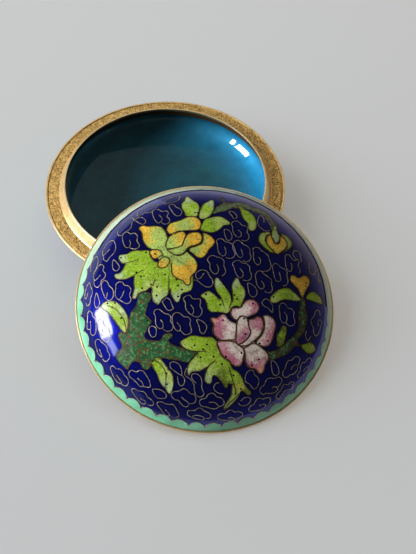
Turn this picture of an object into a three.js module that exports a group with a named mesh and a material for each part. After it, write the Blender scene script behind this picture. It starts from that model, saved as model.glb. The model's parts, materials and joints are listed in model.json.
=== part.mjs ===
// Round cloisonne enamel box: a footed copper base with a brass mouth ring, and a
// domed lid that has been lifted off and leans on the neck of the base.
// Millimetres, +Z up. The origin is at the middle of the underside of the whole box.
import * as THREE from "three";

// ---------------------------------------------------------------- sizes (mm)
const SEGMENTS = 40;          // facets round every turned piece
const ARC_STEPS = 7;          // facets from the middle of a shell to its mouth

const MOUTH_R = 38.0;         // outer radius of both brass mouth rings
const SHELL_R = 37.45;        // outer radius of the enamelled shells at the mouth

// base
const FLANGE_Z = 14.9;        // height of the flat flange the lid sits on
const RING_T = 0.9;           // thickness of the base's mouth ring
const BASE_TOP = FLANGE_Z - RING_T;
const NECK_H = 2.67;          // the neck stands this high above the flange
const NECK_FOOT_R = 33.5;     // outer radius where the neck leaves the flange
const NECK_TIP_R = 31.9;      // outer radius at the neck's top
const NECK_BORE_R = 31.4;     // clear radius of the mouth
const RING_BORE_R = 32.5;     // inner radius of the ring under the neck
const GROOVE = { r0: 36.85, r1: 37.35, depth: 0.3 };  // fine groove near the flange's edge
const BOWL_R = 34.6;          // inner radius of the bowl just under the ring
const BOWL_FLOOR_Z = 3.0;     // top of the lining at the middle
const BASE_BOTTOM_Z = 1.0;    // underside of the bowl at the middle
const FOOT_R0 = 20.7;         // foot ring, inner and outer radius
const FOOT_R1 = 22.4;

// lid
const LID_RING_T = 1.0;
const LID_BORE_R = 33.9;      // clears the neck's foot by 0.4
const LID_RISE = 12.2;        // height of the dome above its ring
const LID_WALL = 2.0;         // metal and both enamels at the crown
const LID_INNER_R = 35.2;
const LID_TILT = 16.631;      // degrees from level, where it leans on the neck
const LID_DOWNHILL = -72.363; // compass direction of the slope, degrees from +X
const LID_CENTRE = [13.63, -42.87]; // middle of its mouth from the base's axis

// each wall is lining, copper and outside enamel: where the copper starts and ends
const COPPER_FROM = 0.30;
const COPPER_TO = 0.65;

// ------------------------------------------------------------ turned profiles
const mix = (a, b, t) => a + (b - a) * t;

// a rounded shell section: at angle a (0 = on the axis, 90 degrees = at the mouth)
function shellPoint(curve, a) {
  const s = Math.sin(a);
  const drop = Math.pow(Math.max(0, 1 - Math.pow(s, curve.p)), curve.q);
  return [curve.r * s, curve.mouth + curve.rise * drop];
}

// the same, part of the way from the inner face (0) to the outer face (1)
function layerPoint(shell, t, a) {
  const [r0, z0] = shellPoint(shell.inner, a);
  const [r1, z1] = shellPoint(shell.outer, a);
  return [mix(r0, r1, t), mix(z0, z1, t)];
}

function arc(shell, t, from, to, steps) {
  const points = [];
  for (let i = 0; i <= steps; i++) {
    const a = mix(from, to, i / steps);
    const [r, z] = layerPoint(shell, t, a);
    points.push([a === 0 ? 0 : r, z]);
  }
  return points;
}

// the angle at which a layer reaches a given radius
function angleAt(shell, t, radius) {
  return Math.asin(radius / mix(shell.inner.r, shell.outer.r, t));
}

const reversed = (points) => points.slice().reverse();

// a solid of revolution round Z from a closed section [r, z], anticlockwise.
// Each quad is cut along the diagonal that starts at its lower circle, so two
// layers that share a surface share every triangle of it.
function turned(section) {
  const clean = section.filter((p, i) => {
    const q = section[(i + 1) % section.length];
    return Math.hypot(p[0] - q[0], p[1] - q[1]) > 1e-6;
  });
  const onAxis = clean[0][0] === 0 && clean[clean.length - 1][0] === 0;
  const loop = onAxis ? clean : clean.concat([clean[0]]);
  const lathe = new THREE.LatheGeometry(loop.map(([r, z]) => new THREE.Vector2(r, z)), SEGMENTS);
  const n = loop.length;
  const index = [];
  for (let i = 0; i < SEGMENTS; i++) {
    for (let j = 0; j < n - 1; j++) {
      const a = i * n + j, b = a + n, c = b + 1, d = a + 1;
      const [ra, za] = loop[j], [rd, zd] = loop[j + 1];
      const risingOrOut = za < zd || (za === zd && ra < rd);
      const tris = risingOrOut ? [[a, b, d], [c, d, b]] : [[a, b, c], [a, c, d]];
      for (const [x, y, z] of tris) {
        const rim = (v) => loop[v % n][0] === 0;
        // on the axis all copies of a point are one point
        if ([[x, y], [y, z], [z, x]].some(([u, v]) => rim(u) && rim(v) && u % n === v % n)) continue;
        index.push(x, y, z);
      }
    }
  }
  lathe.setIndex(index);
  const flat = lathe.toNonIndexed();
  flat.rotateX(Math.PI / 2);
  flat.computeVertexNormals();
  flat.deleteAttribute("uv");
  return flat;
}

function piece(name, section, colour, roughness, metalness) {
  const mesh = new THREE.Mesh(
    turned(section),
    new THREE.MeshStandardMaterial({ color: colour, roughness, metalness })
  );
  mesh.name = name;
  return mesh;
}

const BRASS = 0xa8843f, COPPER = 0xb0714a, COBALT = 0x1c1c86, TURQUOISE = 0x1f7d97;

// --------------------------------------------------------------------- base
const baseShell = {
  inner: { r: BOWL_R, mouth: BASE_TOP, rise: BOWL_FLOOR_Z - BASE_TOP, p: 2.4, q: 1 / 2.4 },
  outer: { r: SHELL_R, mouth: BASE_TOP, rise: BASE_BOTTOM_Z - BASE_TOP, p: 3.2, q: 0.62 },
};
const HALF = Math.PI / 2;
const liningFace = arc(baseShell, 0, 0, HALF, ARC_STEPS);
const copperInside = arc(baseShell, COPPER_FROM, 0, HALF, ARC_STEPS);

// the wall outside the foot ring, and the recess inside it
const WALL_STEPS = 5, RECESS_STEPS = 3;
const wallCopper = arc(baseShell, COPPER_TO, angleAt(baseShell, COPPER_TO, FOOT_R1), HALF, WALL_STEPS);
const wallEnamel = arc(baseShell, 1, angleAt(baseShell, 1, FOOT_R1), HALF, WALL_STEPS);
const recessCopper = arc(baseShell, COPPER_TO, 0, angleAt(baseShell, COPPER_TO, FOOT_R0), RECESS_STEPS);
const recessEnamel = arc(baseShell, 1, 0, angleAt(baseShell, 1, FOOT_R0), RECESS_STEPS);

const base = new THREE.Group();
base.add(piece("base_bowl", [
  ...recessCopper,
  recessEnamel[RECESS_STEPS],
  [FOOT_R0, 0.25], [FOOT_R0 + 0.2, 0], [FOOT_R1 - 0.2, 0], [FOOT_R1, 0.25],
  wallEnamel[0],
  ...wallCopper,
  ...reversed(copperInside),
], COPPER, 0.35, 1.0));

base.add(piece("base_enamel_inside", [...copperInside, ...reversed(liningFace)], TURQUOISE, 0.12, 0.0));
base.add(piece("base_enamel_wall", [...wallEnamel, ...reversed(wallCopper)], COBALT, 0.12, 0.0));
base.add(piece("base_enamel_underside", [...recessEnamel, ...reversed(recessCopper)], TURQUOISE, 0.2, 0.0));

const g = GROOVE;
base.add(piece("base_rim", [
  [RING_BORE_R, BASE_TOP], liningFace[ARC_STEPS], copperInside[ARC_STEPS],
  wallCopper[WALL_STEPS], wallEnamel[WALL_STEPS], [MOUTH_R, BASE_TOP],
  [MOUTH_R, FLANGE_Z - 0.15], [MOUTH_R - 0.15, FLANGE_Z],
  [g.r1, FLANGE_Z], [g.r1 - 0.1, FLANGE_Z - g.depth], [g.r0 + 0.1, FLANGE_Z - g.depth], [g.r0, FLANGE_Z],
  [NECK_FOOT_R, FLANGE_Z],
  [NECK_TIP_R, FLANGE_Z + NECK_H - 0.12], [NECK_TIP_R - 0.12, FLANGE_Z + NECK_H],
  [NECK_BORE_R, FLANGE_Z + NECK_H],
  [RING_BORE_R, FLANGE_Z + 0.75],
], BRASS, 0.45, 1.0));

// ---------------------------------------------------------------------- lid
const lidShell = {
  inner: { r: LID_INNER_R, mouth: LID_RING_T, rise: LID_RISE - LID_WALL, p: 2.3, q: 0.65 },
  outer: { r: SHELL_R, mouth: LID_RING_T, rise: LID_RISE, p: 2.3, q: 0.65 },
};
const lidFaces = [0, COPPER_FROM, COPPER_TO, 1].map((t) => arc(lidShell, t, 0, HALF, ARC_STEPS));

const lid = new THREE.Group();
lid.add(piece("lid_enamel_inside", sectionBetween(lidFaces[0], lidFaces[1]), TURQUOISE, 0.12, 0.0));
lid.add(piece("lid_dome", sectionBetween(lidFaces[1], lidFaces[2]), COPPER, 0.35, 1.0));
lid.add(piece("lid_enamel_outside", sectionBetween(lidFaces[2], lidFaces[3]), COBALT, 0.1, 0.0));
lid.add(piece("lid_rim", [
  [LID_BORE_R, 0], [MOUTH_R, 0], [MOUTH_R, LID_RING_T - 0.2], [MOUTH_R - 0.2, LID_RING_T],
  ...[3, 2, 1, 0].map((k) => lidFaces[k][ARC_STEPS]),
  [LID_BORE_R, LID_RING_T],
], BRASS, 0.45, 1.0));

// the section between two faces of the dome: out along the lower, back along the upper
function sectionBetween(under, over) {
  return [...under, ...reversed(over)];
}

// the lid leans: its own +X is turned to the downhill side and dipped to the table
const dip = new THREE.Group();
dip.rotation.y = THREE.MathUtils.degToRad(LID_TILT);
dip.add(lid);
const lean = new THREE.Group();
lean.rotation.z = THREE.MathUtils.degToRad(LID_DOWNHILL);
lean.position.set(LID_CENTRE[0], LID_CENTRE[1], MOUTH_R * Math.sin(THREE.MathUtils.degToRad(LID_TILT)));
lean.add(dip);

// ---------------------------------------------------------------- whole box
const whole = new THREE.Group();
whole.add(base, lean);
whole.updateMatrixWorld(true);
const extent = new THREE.Box3().setFromObject(whole, true);
whole.position.set(
  -(extent.min.x + extent.max.x) / 2,
  -(extent.min.y + extent.max.y) / 2,
  -extent.min.z
);
export default whole;
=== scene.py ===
"""Cloisonne enamel box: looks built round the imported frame. Sizes in mm unless a name says otherwise."""
import json
import math

import bpy
import numpy as np
from mathutils import Matrix, Vector, kdtree, noise
from mathutils.geometry import delaunay_2d_cdt

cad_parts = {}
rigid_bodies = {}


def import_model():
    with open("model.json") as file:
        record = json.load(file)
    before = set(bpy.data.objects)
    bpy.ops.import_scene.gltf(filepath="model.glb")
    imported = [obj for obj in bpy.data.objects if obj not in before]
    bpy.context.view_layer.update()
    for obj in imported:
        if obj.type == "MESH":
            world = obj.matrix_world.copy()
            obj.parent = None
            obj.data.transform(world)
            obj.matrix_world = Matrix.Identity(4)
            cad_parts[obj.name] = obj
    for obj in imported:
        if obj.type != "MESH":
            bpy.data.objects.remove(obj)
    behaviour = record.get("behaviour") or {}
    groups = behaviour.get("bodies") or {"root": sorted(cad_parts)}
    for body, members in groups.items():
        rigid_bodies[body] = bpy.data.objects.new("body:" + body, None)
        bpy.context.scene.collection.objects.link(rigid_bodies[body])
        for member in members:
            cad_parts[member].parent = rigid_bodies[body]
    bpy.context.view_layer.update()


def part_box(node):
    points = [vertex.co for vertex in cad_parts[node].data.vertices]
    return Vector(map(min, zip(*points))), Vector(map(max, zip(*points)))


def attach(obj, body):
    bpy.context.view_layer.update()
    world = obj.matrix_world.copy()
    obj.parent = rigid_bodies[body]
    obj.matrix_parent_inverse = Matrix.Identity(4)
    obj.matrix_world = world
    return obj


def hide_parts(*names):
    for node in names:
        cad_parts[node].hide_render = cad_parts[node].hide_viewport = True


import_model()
MM = 0.001

# ------------------------------------------------------------------ sizes (mm)
MOUTH_R, SHELL_R = 38.0, 37.45
FLANGE_Z, RING_T = 14.9, 0.9
BASE_TOP = FLANGE_Z - RING_T
NECK_H, NECK_FOOT_R, NECK_TIP_R, NECK_BORE_R, RING_BORE_R = 2.67, 33.5, 31.9, 31.4, 32.5
GROOVE_R0, GROOVE_R1, GROOVE_D = 36.85, 37.35, 0.3
BOWL_R, BOWL_FLOOR_Z, BASE_BOTTOM_Z = 34.6, 3.0, 1.0
FOOT_R0, FOOT_R1 = 20.7, 22.4
LID_RING_T, LID_BORE_R, LID_RISE, LID_WALL, LID_INNER_R = 1.0, 33.9, 12.2, 2.0, 35.2
LID_TILT, LID_DOWNHILL, LID_CENTRE = 16.631, -72.363, (13.63, -42.87)
COPPER_FROM, COPPER_TO = 0.30, 0.65
SCALLOPS = 49

lo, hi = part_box("base_rim")
BASE_AXIS = np.array([(lo.x + hi.x) / 2, (lo.y + hi.y) / 2, 0.0]) / MM
tilt, turn = math.radians(LID_TILT), math.radians(LID_DOWNHILL)
LID_ROT = np.array((Matrix.Rotation(turn, 3, "Z") @ Matrix.Rotation(tilt, 3, "Y")))
LID_ORIGIN = BASE_AXIS + np.array([LID_CENTRE[0], LID_CENTRE[1], MOUTH_R * math.sin(tilt)])


def on_base(p):
    return np.asarray(p, float) + BASE_AXIS


def on_lid(p):
    return np.asarray(p, float) @ LID_ROT.T + LID_ORIGIN


# the lid's picture: outlines in millimetres along the dome from its crown, x towards the downhill edge
MOTIFS = [
    ('branch_low', 'branch',
     "-3.61,-16.61 -1.58,-17 -0.89,-17.82 0.34,-18.57 1.31,-19.15 2,-19.42 2.95,-18.97 3.92,-18.43 4.48,-18.06 4.84,-18.36 5.22,-19.24 5.85,-19.87 6.49,-20.19 7.18,-21.01 7.91,-21.21 8.75,-20.94 9.48,-19.97 10.1,-18.39 10.29,-17.34 10.02,-16.67 9.4,-16.21 8.99,-15.5 8.95,-14.54 9.32,-13.75 9.91,-13.59 10.44,-14.19 10.81,-15.03 11.45,-14.92 12.27,-14.36 13.1,-13.43 13.74,-12.17 14.84,-10.75 15.69,-8.96 16.23,-7.67 16.82,-8.69 17.27,-9.67 17.85,-10.68 18.18,-11.34 18,-12.01 17.15,-13.36 16.62,-14.66 16.11,-15.96 15.21,-17.44 15.2,-19.18 15.3,-21.3 16.07,-21.6 16.83,-22.17 16.92,-23.17 16.45,-23.78 15.18,-24.17 14.25,-24.65 13.84,-25.44 13.76,-26.47 14.48,-27.45 15.29,-28.16 14.99,-28.69 13.73,-29.41 12.47,-30.14 11.3,-30.58 10.62,-30.37 9.95,-29.7 9.42,-28.61 8.74,-27.95 7.7,-27.97 6.42,-28.23 5.1,-28.17 4.69,-27.6 5.43,-26.73 5.48,-25.69 3.38,-24.82 1.34,-23.69 0.32,-23.13 -0.56,-21.92 -1.67,-20.84 -3,-20.2 -4.35,-19.56",
     ""),
    ('branch_top', 'branch_grey',
     "-23.88,7.99 -24.28,10.01 -24.19,11.58 -24.58,13 -25.16,14.84 -24.75,16.35 -24.26,19.2 -22.81,21.37 -21.44,23.26 -20.15,24.13 -18.48,24.85 -17.29,24.7 -15.77,23.9 -15.67,26.17 -17.25,26.5 -19.73,26.13 -21.9,25.65 -23.24,24.79 -24.36,23.11 -25.56,20.77 -27.07,18.96 -27.7,16.81 -27.45,14.69 -28.11,13.28 -30.61,13.37 -29.64,12.85 -27.76,12.5 -26.9,10.9 -26.04,9.64",
     ""),
    ('branch_right', 'branch_dark',
     "8.93,25.19 10.09,24.83 11.75,23.81 13.18,23.39 14.65,23.31 16.01,22.59 17.28,21.4 18.38,19.43 19.47,17.5 20.27,15.68 20.92,13.93 20.81,12.08 20.56,10.9 23.2,10.56 23.16,11.66 23.18,13.07 22.95,14.71 22.72,16.38 22.14,17.83 21.25,19.21 20.91,20.48 21.09,21.47 21.07,22.18 20.5,21.44 19.88,21.24 19.07,21.62 17.92,23.48 16.64,24.7 15.01,25.69 13.6,26.27 12.11,26.35 10.61,26.44 9.17,27.08 7.93,26.94 7.25,26.44",
     ""),
    ('G2', 'leaf',
     "-27.04,5.21 -28.51,6.47 -29.29,8.16 -29.87,9.32 -29.17,9.89 -27.4,9.46 -25.77,8.85 -24.33,7.82 -23.21,6.52 -22.71,4.97 -22.96,3.81 -23.91,3.63 -25.58,4.29",
     "-28.88,8.98,palemint -26.69,6.68,lime -23.81,4.84,palelime"),
    ('G1', 'leaf',
     "-29.05,-0.3 -30.72,0.33 -31.62,1.38 -32.76,1.87 -33.42,2.7 -32.34,3.18 -30.86,3.86 -29.43,4.69 -27.78,4.91 -26.39,4.39 -25.3,3.74 -24.25,3.12 -25.19,0 -26.77,-0.01 -27.94,-0.3",
     "-29.67,0.66,palelime -32.09,2.31,palemint -28.14,2.72,lime -25.38,3.46,palelime -25.87,0.2,lime"),
    ('G3', 'leaf',
     "-19.21,2.68 -21.17,3.73 -22.39,5.02 -22.71,6.99 -22.7,8.86 -22.21,10.28 -21.06,11.16 -19.76,11.99 -19.08,11.6 -19.11,9.89 -18.36,8.71 -17.59,7.24 -17.41,5.65 -18.05,4.01",
     "-19.89,3.65,lime -20.45,5.97,lime -21.35,8.74,palelime -20.1,11.16,palelime"),
    ('leaf_big', 'leaf',
     "-16.6,-13.49 -16.99,-14.59 -17.49,-15.97 -18.02,-17.36 -18.08,-18.88 -17.77,-19.87 -18.08,-21.04 -18.18,-22.11 -17.47,-22.58 -16.69,-22.45 -15.42,-21.96 -14.98,-21.14 -14.18,-21.48 -13.15,-22.34 -12.46,-23.58 -12.71,-24.61 -12.2,-25.04 -10.99,-24.54 -10.46,-23.44 -10.07,-22.16 -10.06,-20.8 -10.12,-19.59 -9.07,-19.85 -7.94,-20.13 -6.33,-20.39 -5.35,-20.94 -4.35,-21.43 -3.53,-21.49 -3.36,-21 -3.7,-20.43 -4.47,-19.83 -4.7,-19 -4.68,-17.42 -5.2,-15.91 -4.48,-15.71 -3.29,-16.17 -2.05,-16.26 -1.03,-16.21 -0.26,-15.8 0.25,-15.21 -0.16,-14.43 -0.93,-13.77 -1.31,-12.77 -1.67,-11.89 -2.53,-11.46 -3.29,-10.68 -1.74,-10.95 -0.41,-10.69 0.68,-10.35 1.11,-10 0.96,-9.36 0.12,-8.75 -0.67,-8.31 -1.1,-7.41 -1.07,-6.17 -1.31,-5.23 -2.28,-4.47 -3.46,-4 -4.98,-3.63 -7.85,-3.71 -10.39,-5.95 -12.85,-7.64 -11.5,-9.77 -12.34,-12.5 -14.75,-13.66",
     "-17.49,-21.8,palemint -16.23,-18.7,lime -15.52,-15.86,lime -11.8,-24.04,palemint -12.66,-21.08,lime -12.06,-17.61,lime -11.96,-14.37,lime -6.87,-18.62,lime -4.14,-20.8,palemint -8.46,-14.68,lime -1.02,-14.87,palemint -4.16,-14.05,palelime -5.33,-11.7,lime -3.98,-9.15,lime 0.17,-9.69,palemint -2.3,-6.41,palelime -4.9,-4.53,lime -6.16,-16.45,palelime"),
    ('leaf_left', 'leaf2',
     "-4.52,-31.2 -5.47,-29.98 -5.21,-28.13 -4.27,-26.49 -2.61,-25.38 -0.48,-24.57 1.44,-24.32 3.38,-24.82 4.89,-25.68 5.39,-26.42 4.15,-27 1.35,-28.09 -1.33,-29.11 -3.43,-30.49",
     "-4.62,-29.87,palemint -3.73,-27.56,palelime -1.1,-25.47,palemint -1.72,-28.07,lime 1.14,-26.96,lime 4.38,-26.3,palelime"),
    ('leaf_K', 'leaf',
     "14.8,-2.11 15.87,-2.4 17.08,-2.14 18.55,-1.95 19.89,-1.13 20.82,-0.21 22.16,0.04 23.09,0.39 24.24,1.58 25.51,2.16 26.73,2.47 28.22,2.73 29.53,3.35 30.26,3.96 31.13,3.94 31.19,3.01 30.42,2.26 29.72,1.81 29.48,1.41 30.06,0.84 31.02,0.04 31.92,-1.03 32.75,-2.39 33.45,-3.72 33.55,-4.49 33.05,-4.68 31.82,-3.68 30.92,-2.61 29.96,-1.81 28.63,-1.36 27.86,-1.04 27.11,-1.16 26.57,-1.62 27.27,-2.22 27.84,-2.8 27.03,-3.19 26.12,-3.41 25.14,-3.9 24,-4.49 23.45,-5.51 24.05,-5.95 25.08,-6.35 25.47,-7.02 25.03,-7.64 24.36,-8.04 23.52,-7.98 22.26,-7.37 21.04,-6.63 20.84,-6.86 21.16,-7.81 21.34,-8.72 21.19,-9.83 20.99,-10.92 21.43,-11.61 21.8,-12.14 21.25,-12.28 20.42,-12.21 19.52,-11.83 18.67,-11.32 17.82,-10.24 17.01,-9.03 16.3,-8.27 15.99,-8.04 15.54,-9.21 15.06,-10.23 14.3,-11.17 13.24,-11.9 12.19,-12.05 11.68,-10.77 11.49,-9.86 11.31,-8.95 11.4,-7.82 12.15,-6.3 12.7,-4.72 13.05,-3.37 13.65,-2.67",
     "13.02,-11.12,palelime 12.58,-9.57,lime 13.83,-7.04,lime 15.13,-4.22,lime 18.8,-4.32,lime 17.84,-6.95,lime 18.99,-10.12,palelime 21.36,-11.88,palemint 20.67,-9.12,palelime 24.3,-7.17,palemint 22.19,-5.48,palelime 20.61,-2.77,lime 23.94,-3.03,moss 26.63,-2.51,moss 24.36,-0.21,lime 26.45,1.35,lime 28.69,1.14,lemon 30.35,3.18,moss 29.01,-1.01,palelime 31.56,-1.26,palelime 32.95,-3.92,palemint"),
    ('leaf_J', 'leaf',
     "0.72,-3.03 0.47,-2.23 0.1,-1.25 0.16,-0.39 0.8,0.31 1.71,0.93 2.76,1.51 3.32,1.94 2.65,2.28 1.31,1.78 -0.29,1.5 -1.76,1.78 -2.74,2.2 -3.22,2.79 -2.8,3.26 -1.58,3.79 -0.05,4.39 1.43,4.84 2.88,5.17 4.22,5.07 4.85,5.19 3.74,5.6 2.01,6.01 0.24,6.32 -1.09,7.22 -1.87,8.2 -1.36,8.8 -0.11,8.88 1.24,9.38 2.52,9.66 3.94,9.18 5.23,8.2 6.26,7.45 6.87,6.83 6.32,6.39 6.17,5.1 6.57,4.25 7.41,3.42 7.7,2.75 7.09,1.46 6.62,0.13 6.21,-1.5 4.86,-2.14 3.39,-2.02 2.13,-2.25 1.36,-2.91",
     "0.75,-1.72,palelime 3.14,-0.64,lime 5.29,0.8,lime 6.38,2.83,palelime -1.88,2.55,palemint 0.97,2.91,lime 4.05,4.38,lime -0.65,7.84,palemint 2.14,7.91,lime 5.48,6.64,lime 3.53,8.7,palelime"),
    ('leaf_M1', 'leafM1',
     "15.01,-21.31 14.94,-20.85 15.23,-20.06 15.86,-19.36 16.93,-18.63 18.49,-18.18 19.78,-18.15 21.26,-18.5 22.56,-19 23.5,-19.25 22.3,-19.95 20.73,-20.4 18.98,-20.5 17.41,-20.95 15.89,-21.26",
     "15.74,-20.78,lime 17.99,-19.94,lime 20.43,-19.43,palelime 22.45,-19.4,palemint"),
    ('leaf_M2', 'leafM2',
     "14.78,-19.94 14.71,-18.9 15.43,-18.37 16.76,-17.72 18.35,-17.13 19.81,-16.51 21.27,-16.38 22.62,-16.68 23.91,-17.23 24.89,-17.87 25.23,-18.55 24.58,-19.02 23.5,-19.25 22.56,-19 21.26,-18.5 19.78,-18.15 18.49,-18.18 16.93,-18.63 15.86,-19.36 15.23,-20.06",
     "15.07,-19.14,lime 17.39,-18.03,palelime 20.49,-17.13,palelime 23.7,-17.99,palemint"),
    ('leaf_H', 'leaf_h',
     "-25.6,16.67 -25.76,17.41 -24.34,18.21 -23.38,19.19 -22.04,20.02 -20.35,20.38 -18.39,20.13 -16.58,19.28 -15.79,18.17 -15.94,17.08 -17.27,16.9 -18.73,17.26 -20.17,16.64 -21.99,16.48 -23.62,16.76",
     "-24.89,17.07,lime -20.9,18.9,lime -17.05,18.46,palelime"),
    ('L1', 'leaf',
     "6.4,16.11 5.71,16.47 5.13,17.44 4.42,18.62 3.89,20.08 3.79,21.42 4.17,22.96 4.9,23.73 5.77,24.47 7.13,25.42 8.1,25.81 8.21,24.38 7.83,22.79 7.25,20.98 7.28,19.34 7.64,17.94 7.56,16.7 7,16.08",
     "6.65,16.66,palelime 5.06,19.71,lime 5.84,22.75,lime 7.67,24.89,palelime"),
    ('L2', 'leaf',
     "6.74,28.8 6.21,29.74 6.16,31.12 6.87,32.3 7.86,33.22 9.14,33.65 10.06,33.34 9.82,32.11 9.24,30.66 8.65,29.3 8.22,28.12 7.71,27.73 7.14,28.11",
     "7.49,28.55,lime 7.42,31.28,lime 9.42,33.11,palelime"),
    ('L3', 'leaf_d',
     "19.75,14.54 18.37,14.83 16.99,15.2 16.24,15.78 15.8,16.54 15.03,17.07 14.5,17.7 14.7,18.45 15.48,18.72 16.46,18.45 17.78,17.77 18.83,17.18 19.7,16.47 20.07,15.41",
     "19.11,15.66,moss 16.75,16.92,lime 15.2,17.99,moss"),
    ('L4', 'leaf',
     "21.07,22.18 20.83,23.3 20.84,24.21 20.64,25.18 21.02,26.24 22.04,27.03 22.98,27.27 23.75,26.52 23.98,25.28 23.57,23.82 22.7,23.07 21.83,22.36",
     "21.61,22.76,lime 22.27,24.83,lime 22.52,26.33,palelime"),
    ('bell_l', 'bell_g',
     "-13.66,19.2 -14.46,19.99 -14.79,21.29 -14.59,23.08 -13.95,23.18 -13.71,21.89 -12.72,21.02 -11.7,20.64 -10.45,20.85 -8.99,21.49 -7.53,22.3 -7.55,21.31 -8.46,20.31 -9.77,19.46 -11.26,18.68 -12.66,18.68",
     "-13.89,20.28,palelime -9.28,20.6,lime"),
    ('bell_r', 'bell_g',
     "-13.74,26.8 -13.33,28.11 -12.19,29.11 -10.34,29.43 -9.27,28.78 -8.27,27.45 -7.52,25.72 -7.12,24.53 -8.02,25.92 -8.99,27.02 -10.21,27.51 -11.86,27.29",
     "-12.6,27.42,palelime -9.65,28.01,palelime"),
    ('bell_y', 'yellow',
     "-12.68,21.34 -13.55,22.34 -13.53,23.01 -12.5,23.13 -10.89,23.2 -10.3,23.83 -10.57,24.8 -12.3,25.84 -13,26.49 -12.05,27.18 -10.75,27.56 -9.51,27.23 -8.36,26.05 -7.48,24.32 -6.93,23.09 -7.35,22.4 -8.83,21.43 -10.45,20.85",
     "-12.6,22.15,amber -8.67,22.72,yellow -10.1,26.38,yellow -11.59,25.56,amber -10.34,23.34,amber"),
    ('bell_p', 'pistil',
     "-16.87,25.42 -16.65,26.42 -14.91,25.85 -13.4,25.94 -12.47,25.92 -11.26,25.07 -10.61,24.3 -10.68,23.47 -11.76,23.36 -13.22,23.24 -15,24.11 -16.1,24.92",
     "-16.08,25.62,palelime -11.69,24.2,palemint"),
    ('heart', 'heart',
     "1.37,24.23 0.63,24.66 0.24,25.49 0.64,26.22 1.37,27.02 1.16,28.18 0.77,29.44 1.16,30.43 2,30.89 3.27,30.6 4.46,29.59 5.6,28.26 6.74,27.33 7.42,26.56 6.6,26.12 5.67,26.07 4.54,25.75 3.52,25.05 2.17,24.3",
     "1.14,25,yellow 2.9,26.49,amber 1.9,29.39,amber 4.64,28.04,amber 6.66,26.63,yellow"),
    ('Y_core', 'ycore',
     "-16.33,-11.16 -16.44,-9.35 -14.1,-7.3 -12.08,-7.26 -11.33,-9.22 -11.83,-10.86 -14.12,-11.74",
     "-13.74,-9.47,palelime -15.11,-10.59,mint"),
    ('Y_D', 'yellow_d',
     "-12.85,-7.64 -10.75,-8.35 -9.24,-8.76 -7.14,-9.03 -6.13,-8.37 -5.24,-7.53 -4.77,-6.73 -3.96,-6.48 -3.2,-6.08 -2.96,-5.53 -3.22,-4.99 -4.1,-4.58 -5.04,-4.32 -5.65,-3.53 -6.28,-2.56 -7.23,-1.83 -8.29,-1.38 -9.51,-1.47 -10.94,-1.96 -12.31,-2.76 -13.08,-3.13 -12.69,-4.13 -12.37,-5.4 -12.77,-6.77",
     "-12,-6.98,palelime -11.45,-5.07,palelime -11.24,-3.06,palelime -9.73,-2.3,lemon -10.32,-6.85,palelime -9.79,-4.94,palelime -9.04,-3.38,amber -8.08,-2.17,amber -9.27,-7.72,yellow -8.44,-5.9,amber -7.33,-4.15,amber -7.25,-7.39,amber -5.78,-5.46,amber -3.88,-5.39,amber"),
    ('Y_A', 'yellow_a',
     "-25.06,-14.49 -25.82,-13.85 -25.83,-12.91 -25.04,-12.01 -24.34,-9.72 -23.37,-8.14 -21.58,-7.39 -19.7,-7.29 -18.94,-7.19 -17.47,-8.18 -16.18,-8.52 -15.48,-9.6 -15.7,-10.29 -16.01,-11.25 -16.47,-12.32 -17.4,-13.28 -18.9,-13.96 -20.68,-14.29 -22.12,-14.09 -23.66,-14.04",
     "-24.7,-13.64,amber -22.77,-13.78,amber -20.94,-13.01,amber -23.75,-12.32,yellow -23.26,-10,lemon -19.95,-12.34,yellow -20.91,-10.89,palelime -21.9,-9.43,palelime -17.77,-12.29,palelime -17.86,-10.47,palelime -18.72,-8.75,palelime -19.15,-13.15,lemon -16.35,-9.07,palelime -20.92,-13.93,yellow"),
    ('Y_B', 'yellow_b',
     "-21.79,-6.88 -22.75,-6.32 -23.77,-5.29 -23.94,-4.03 -24.06,-1.86 -24.56,-0.18 -24.6,1.37 -23.77,2.66 -22.38,3.48 -21.07,3.39 -19.76,2.69 -19.33,1.5 -19.72,-0.35 -20.03,-2.38 -19.84,-4.84 -19.43,-5.86 -20.79,-6.69",
     "-21.65,-6.47,amber -21.99,-5.16,yellow -22.34,-3.86,lemon -21.92,-2.46,palelime -22.13,-0.57,palelime -21.12,0.35,palelime -22.8,1.15,lemon -21.64,2.64,amber -23.14,2.79,amber -20.39,1.66,amber -22.64,3.25,amber"),
    ('Y_C', 'yellow_c',
     "-17.86,3.04 -17.01,4.31 -15.92,5.19 -14.43,5.65 -13.25,4.84 -12.13,3.15 -11.19,2.28 -10.2,0.95 -10.14,-0.11 -10.84,-0.95 -12.44,-1.98 -13.09,-2.54 -13.95,-2 -14.14,-0.15 -14.58,1.47 -15.88,2.46",
     "-17.05,3.41,lemon -16.38,4.72,amber -14.88,5.18,amber -13.48,3.85,amber -12.18,2.27,amber -10.68,0.34,yellow -13.33,1.71,lemon -14.92,2.17,palelime -12.81,-0.24,palelime -12.55,-1.8,palelime -11.58,-0.59,lemon"),
    ('Y_O2', 'yellow_o',
     "-18.12,-2.01 -18.76,-1.08 -18.81,0.29 -18.38,1.68 -17.5,2.33 -16.12,2.22 -14.93,1.42 -14.46,-0.06 -14.42,-1.86 -13.86,-2.92 -13,-4.05 -12.68,-5.32 -13.01,-6.71 -14.06,-7.75 -15.3,-8.46 -15.19,-6.41 -15.17,-4.78 -15.63,-3.76 -16.96,-2.94",
     "-16.81,-2.38,lemon -17.48,-0.99,amber -17.69,0.87,amber -16.49,1.43,amber -15.63,-0.62,amber -17.74,2.1,yellow -15.2,-2.84,palelime -13.93,-4.38,palelime -14.48,-6.31,palelime -13.23,-5.46,palelime -14.89,-7.68,palelime -14.9,-1.73,yellow"),
    ('Y_O1', 'yellow_o',
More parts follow.
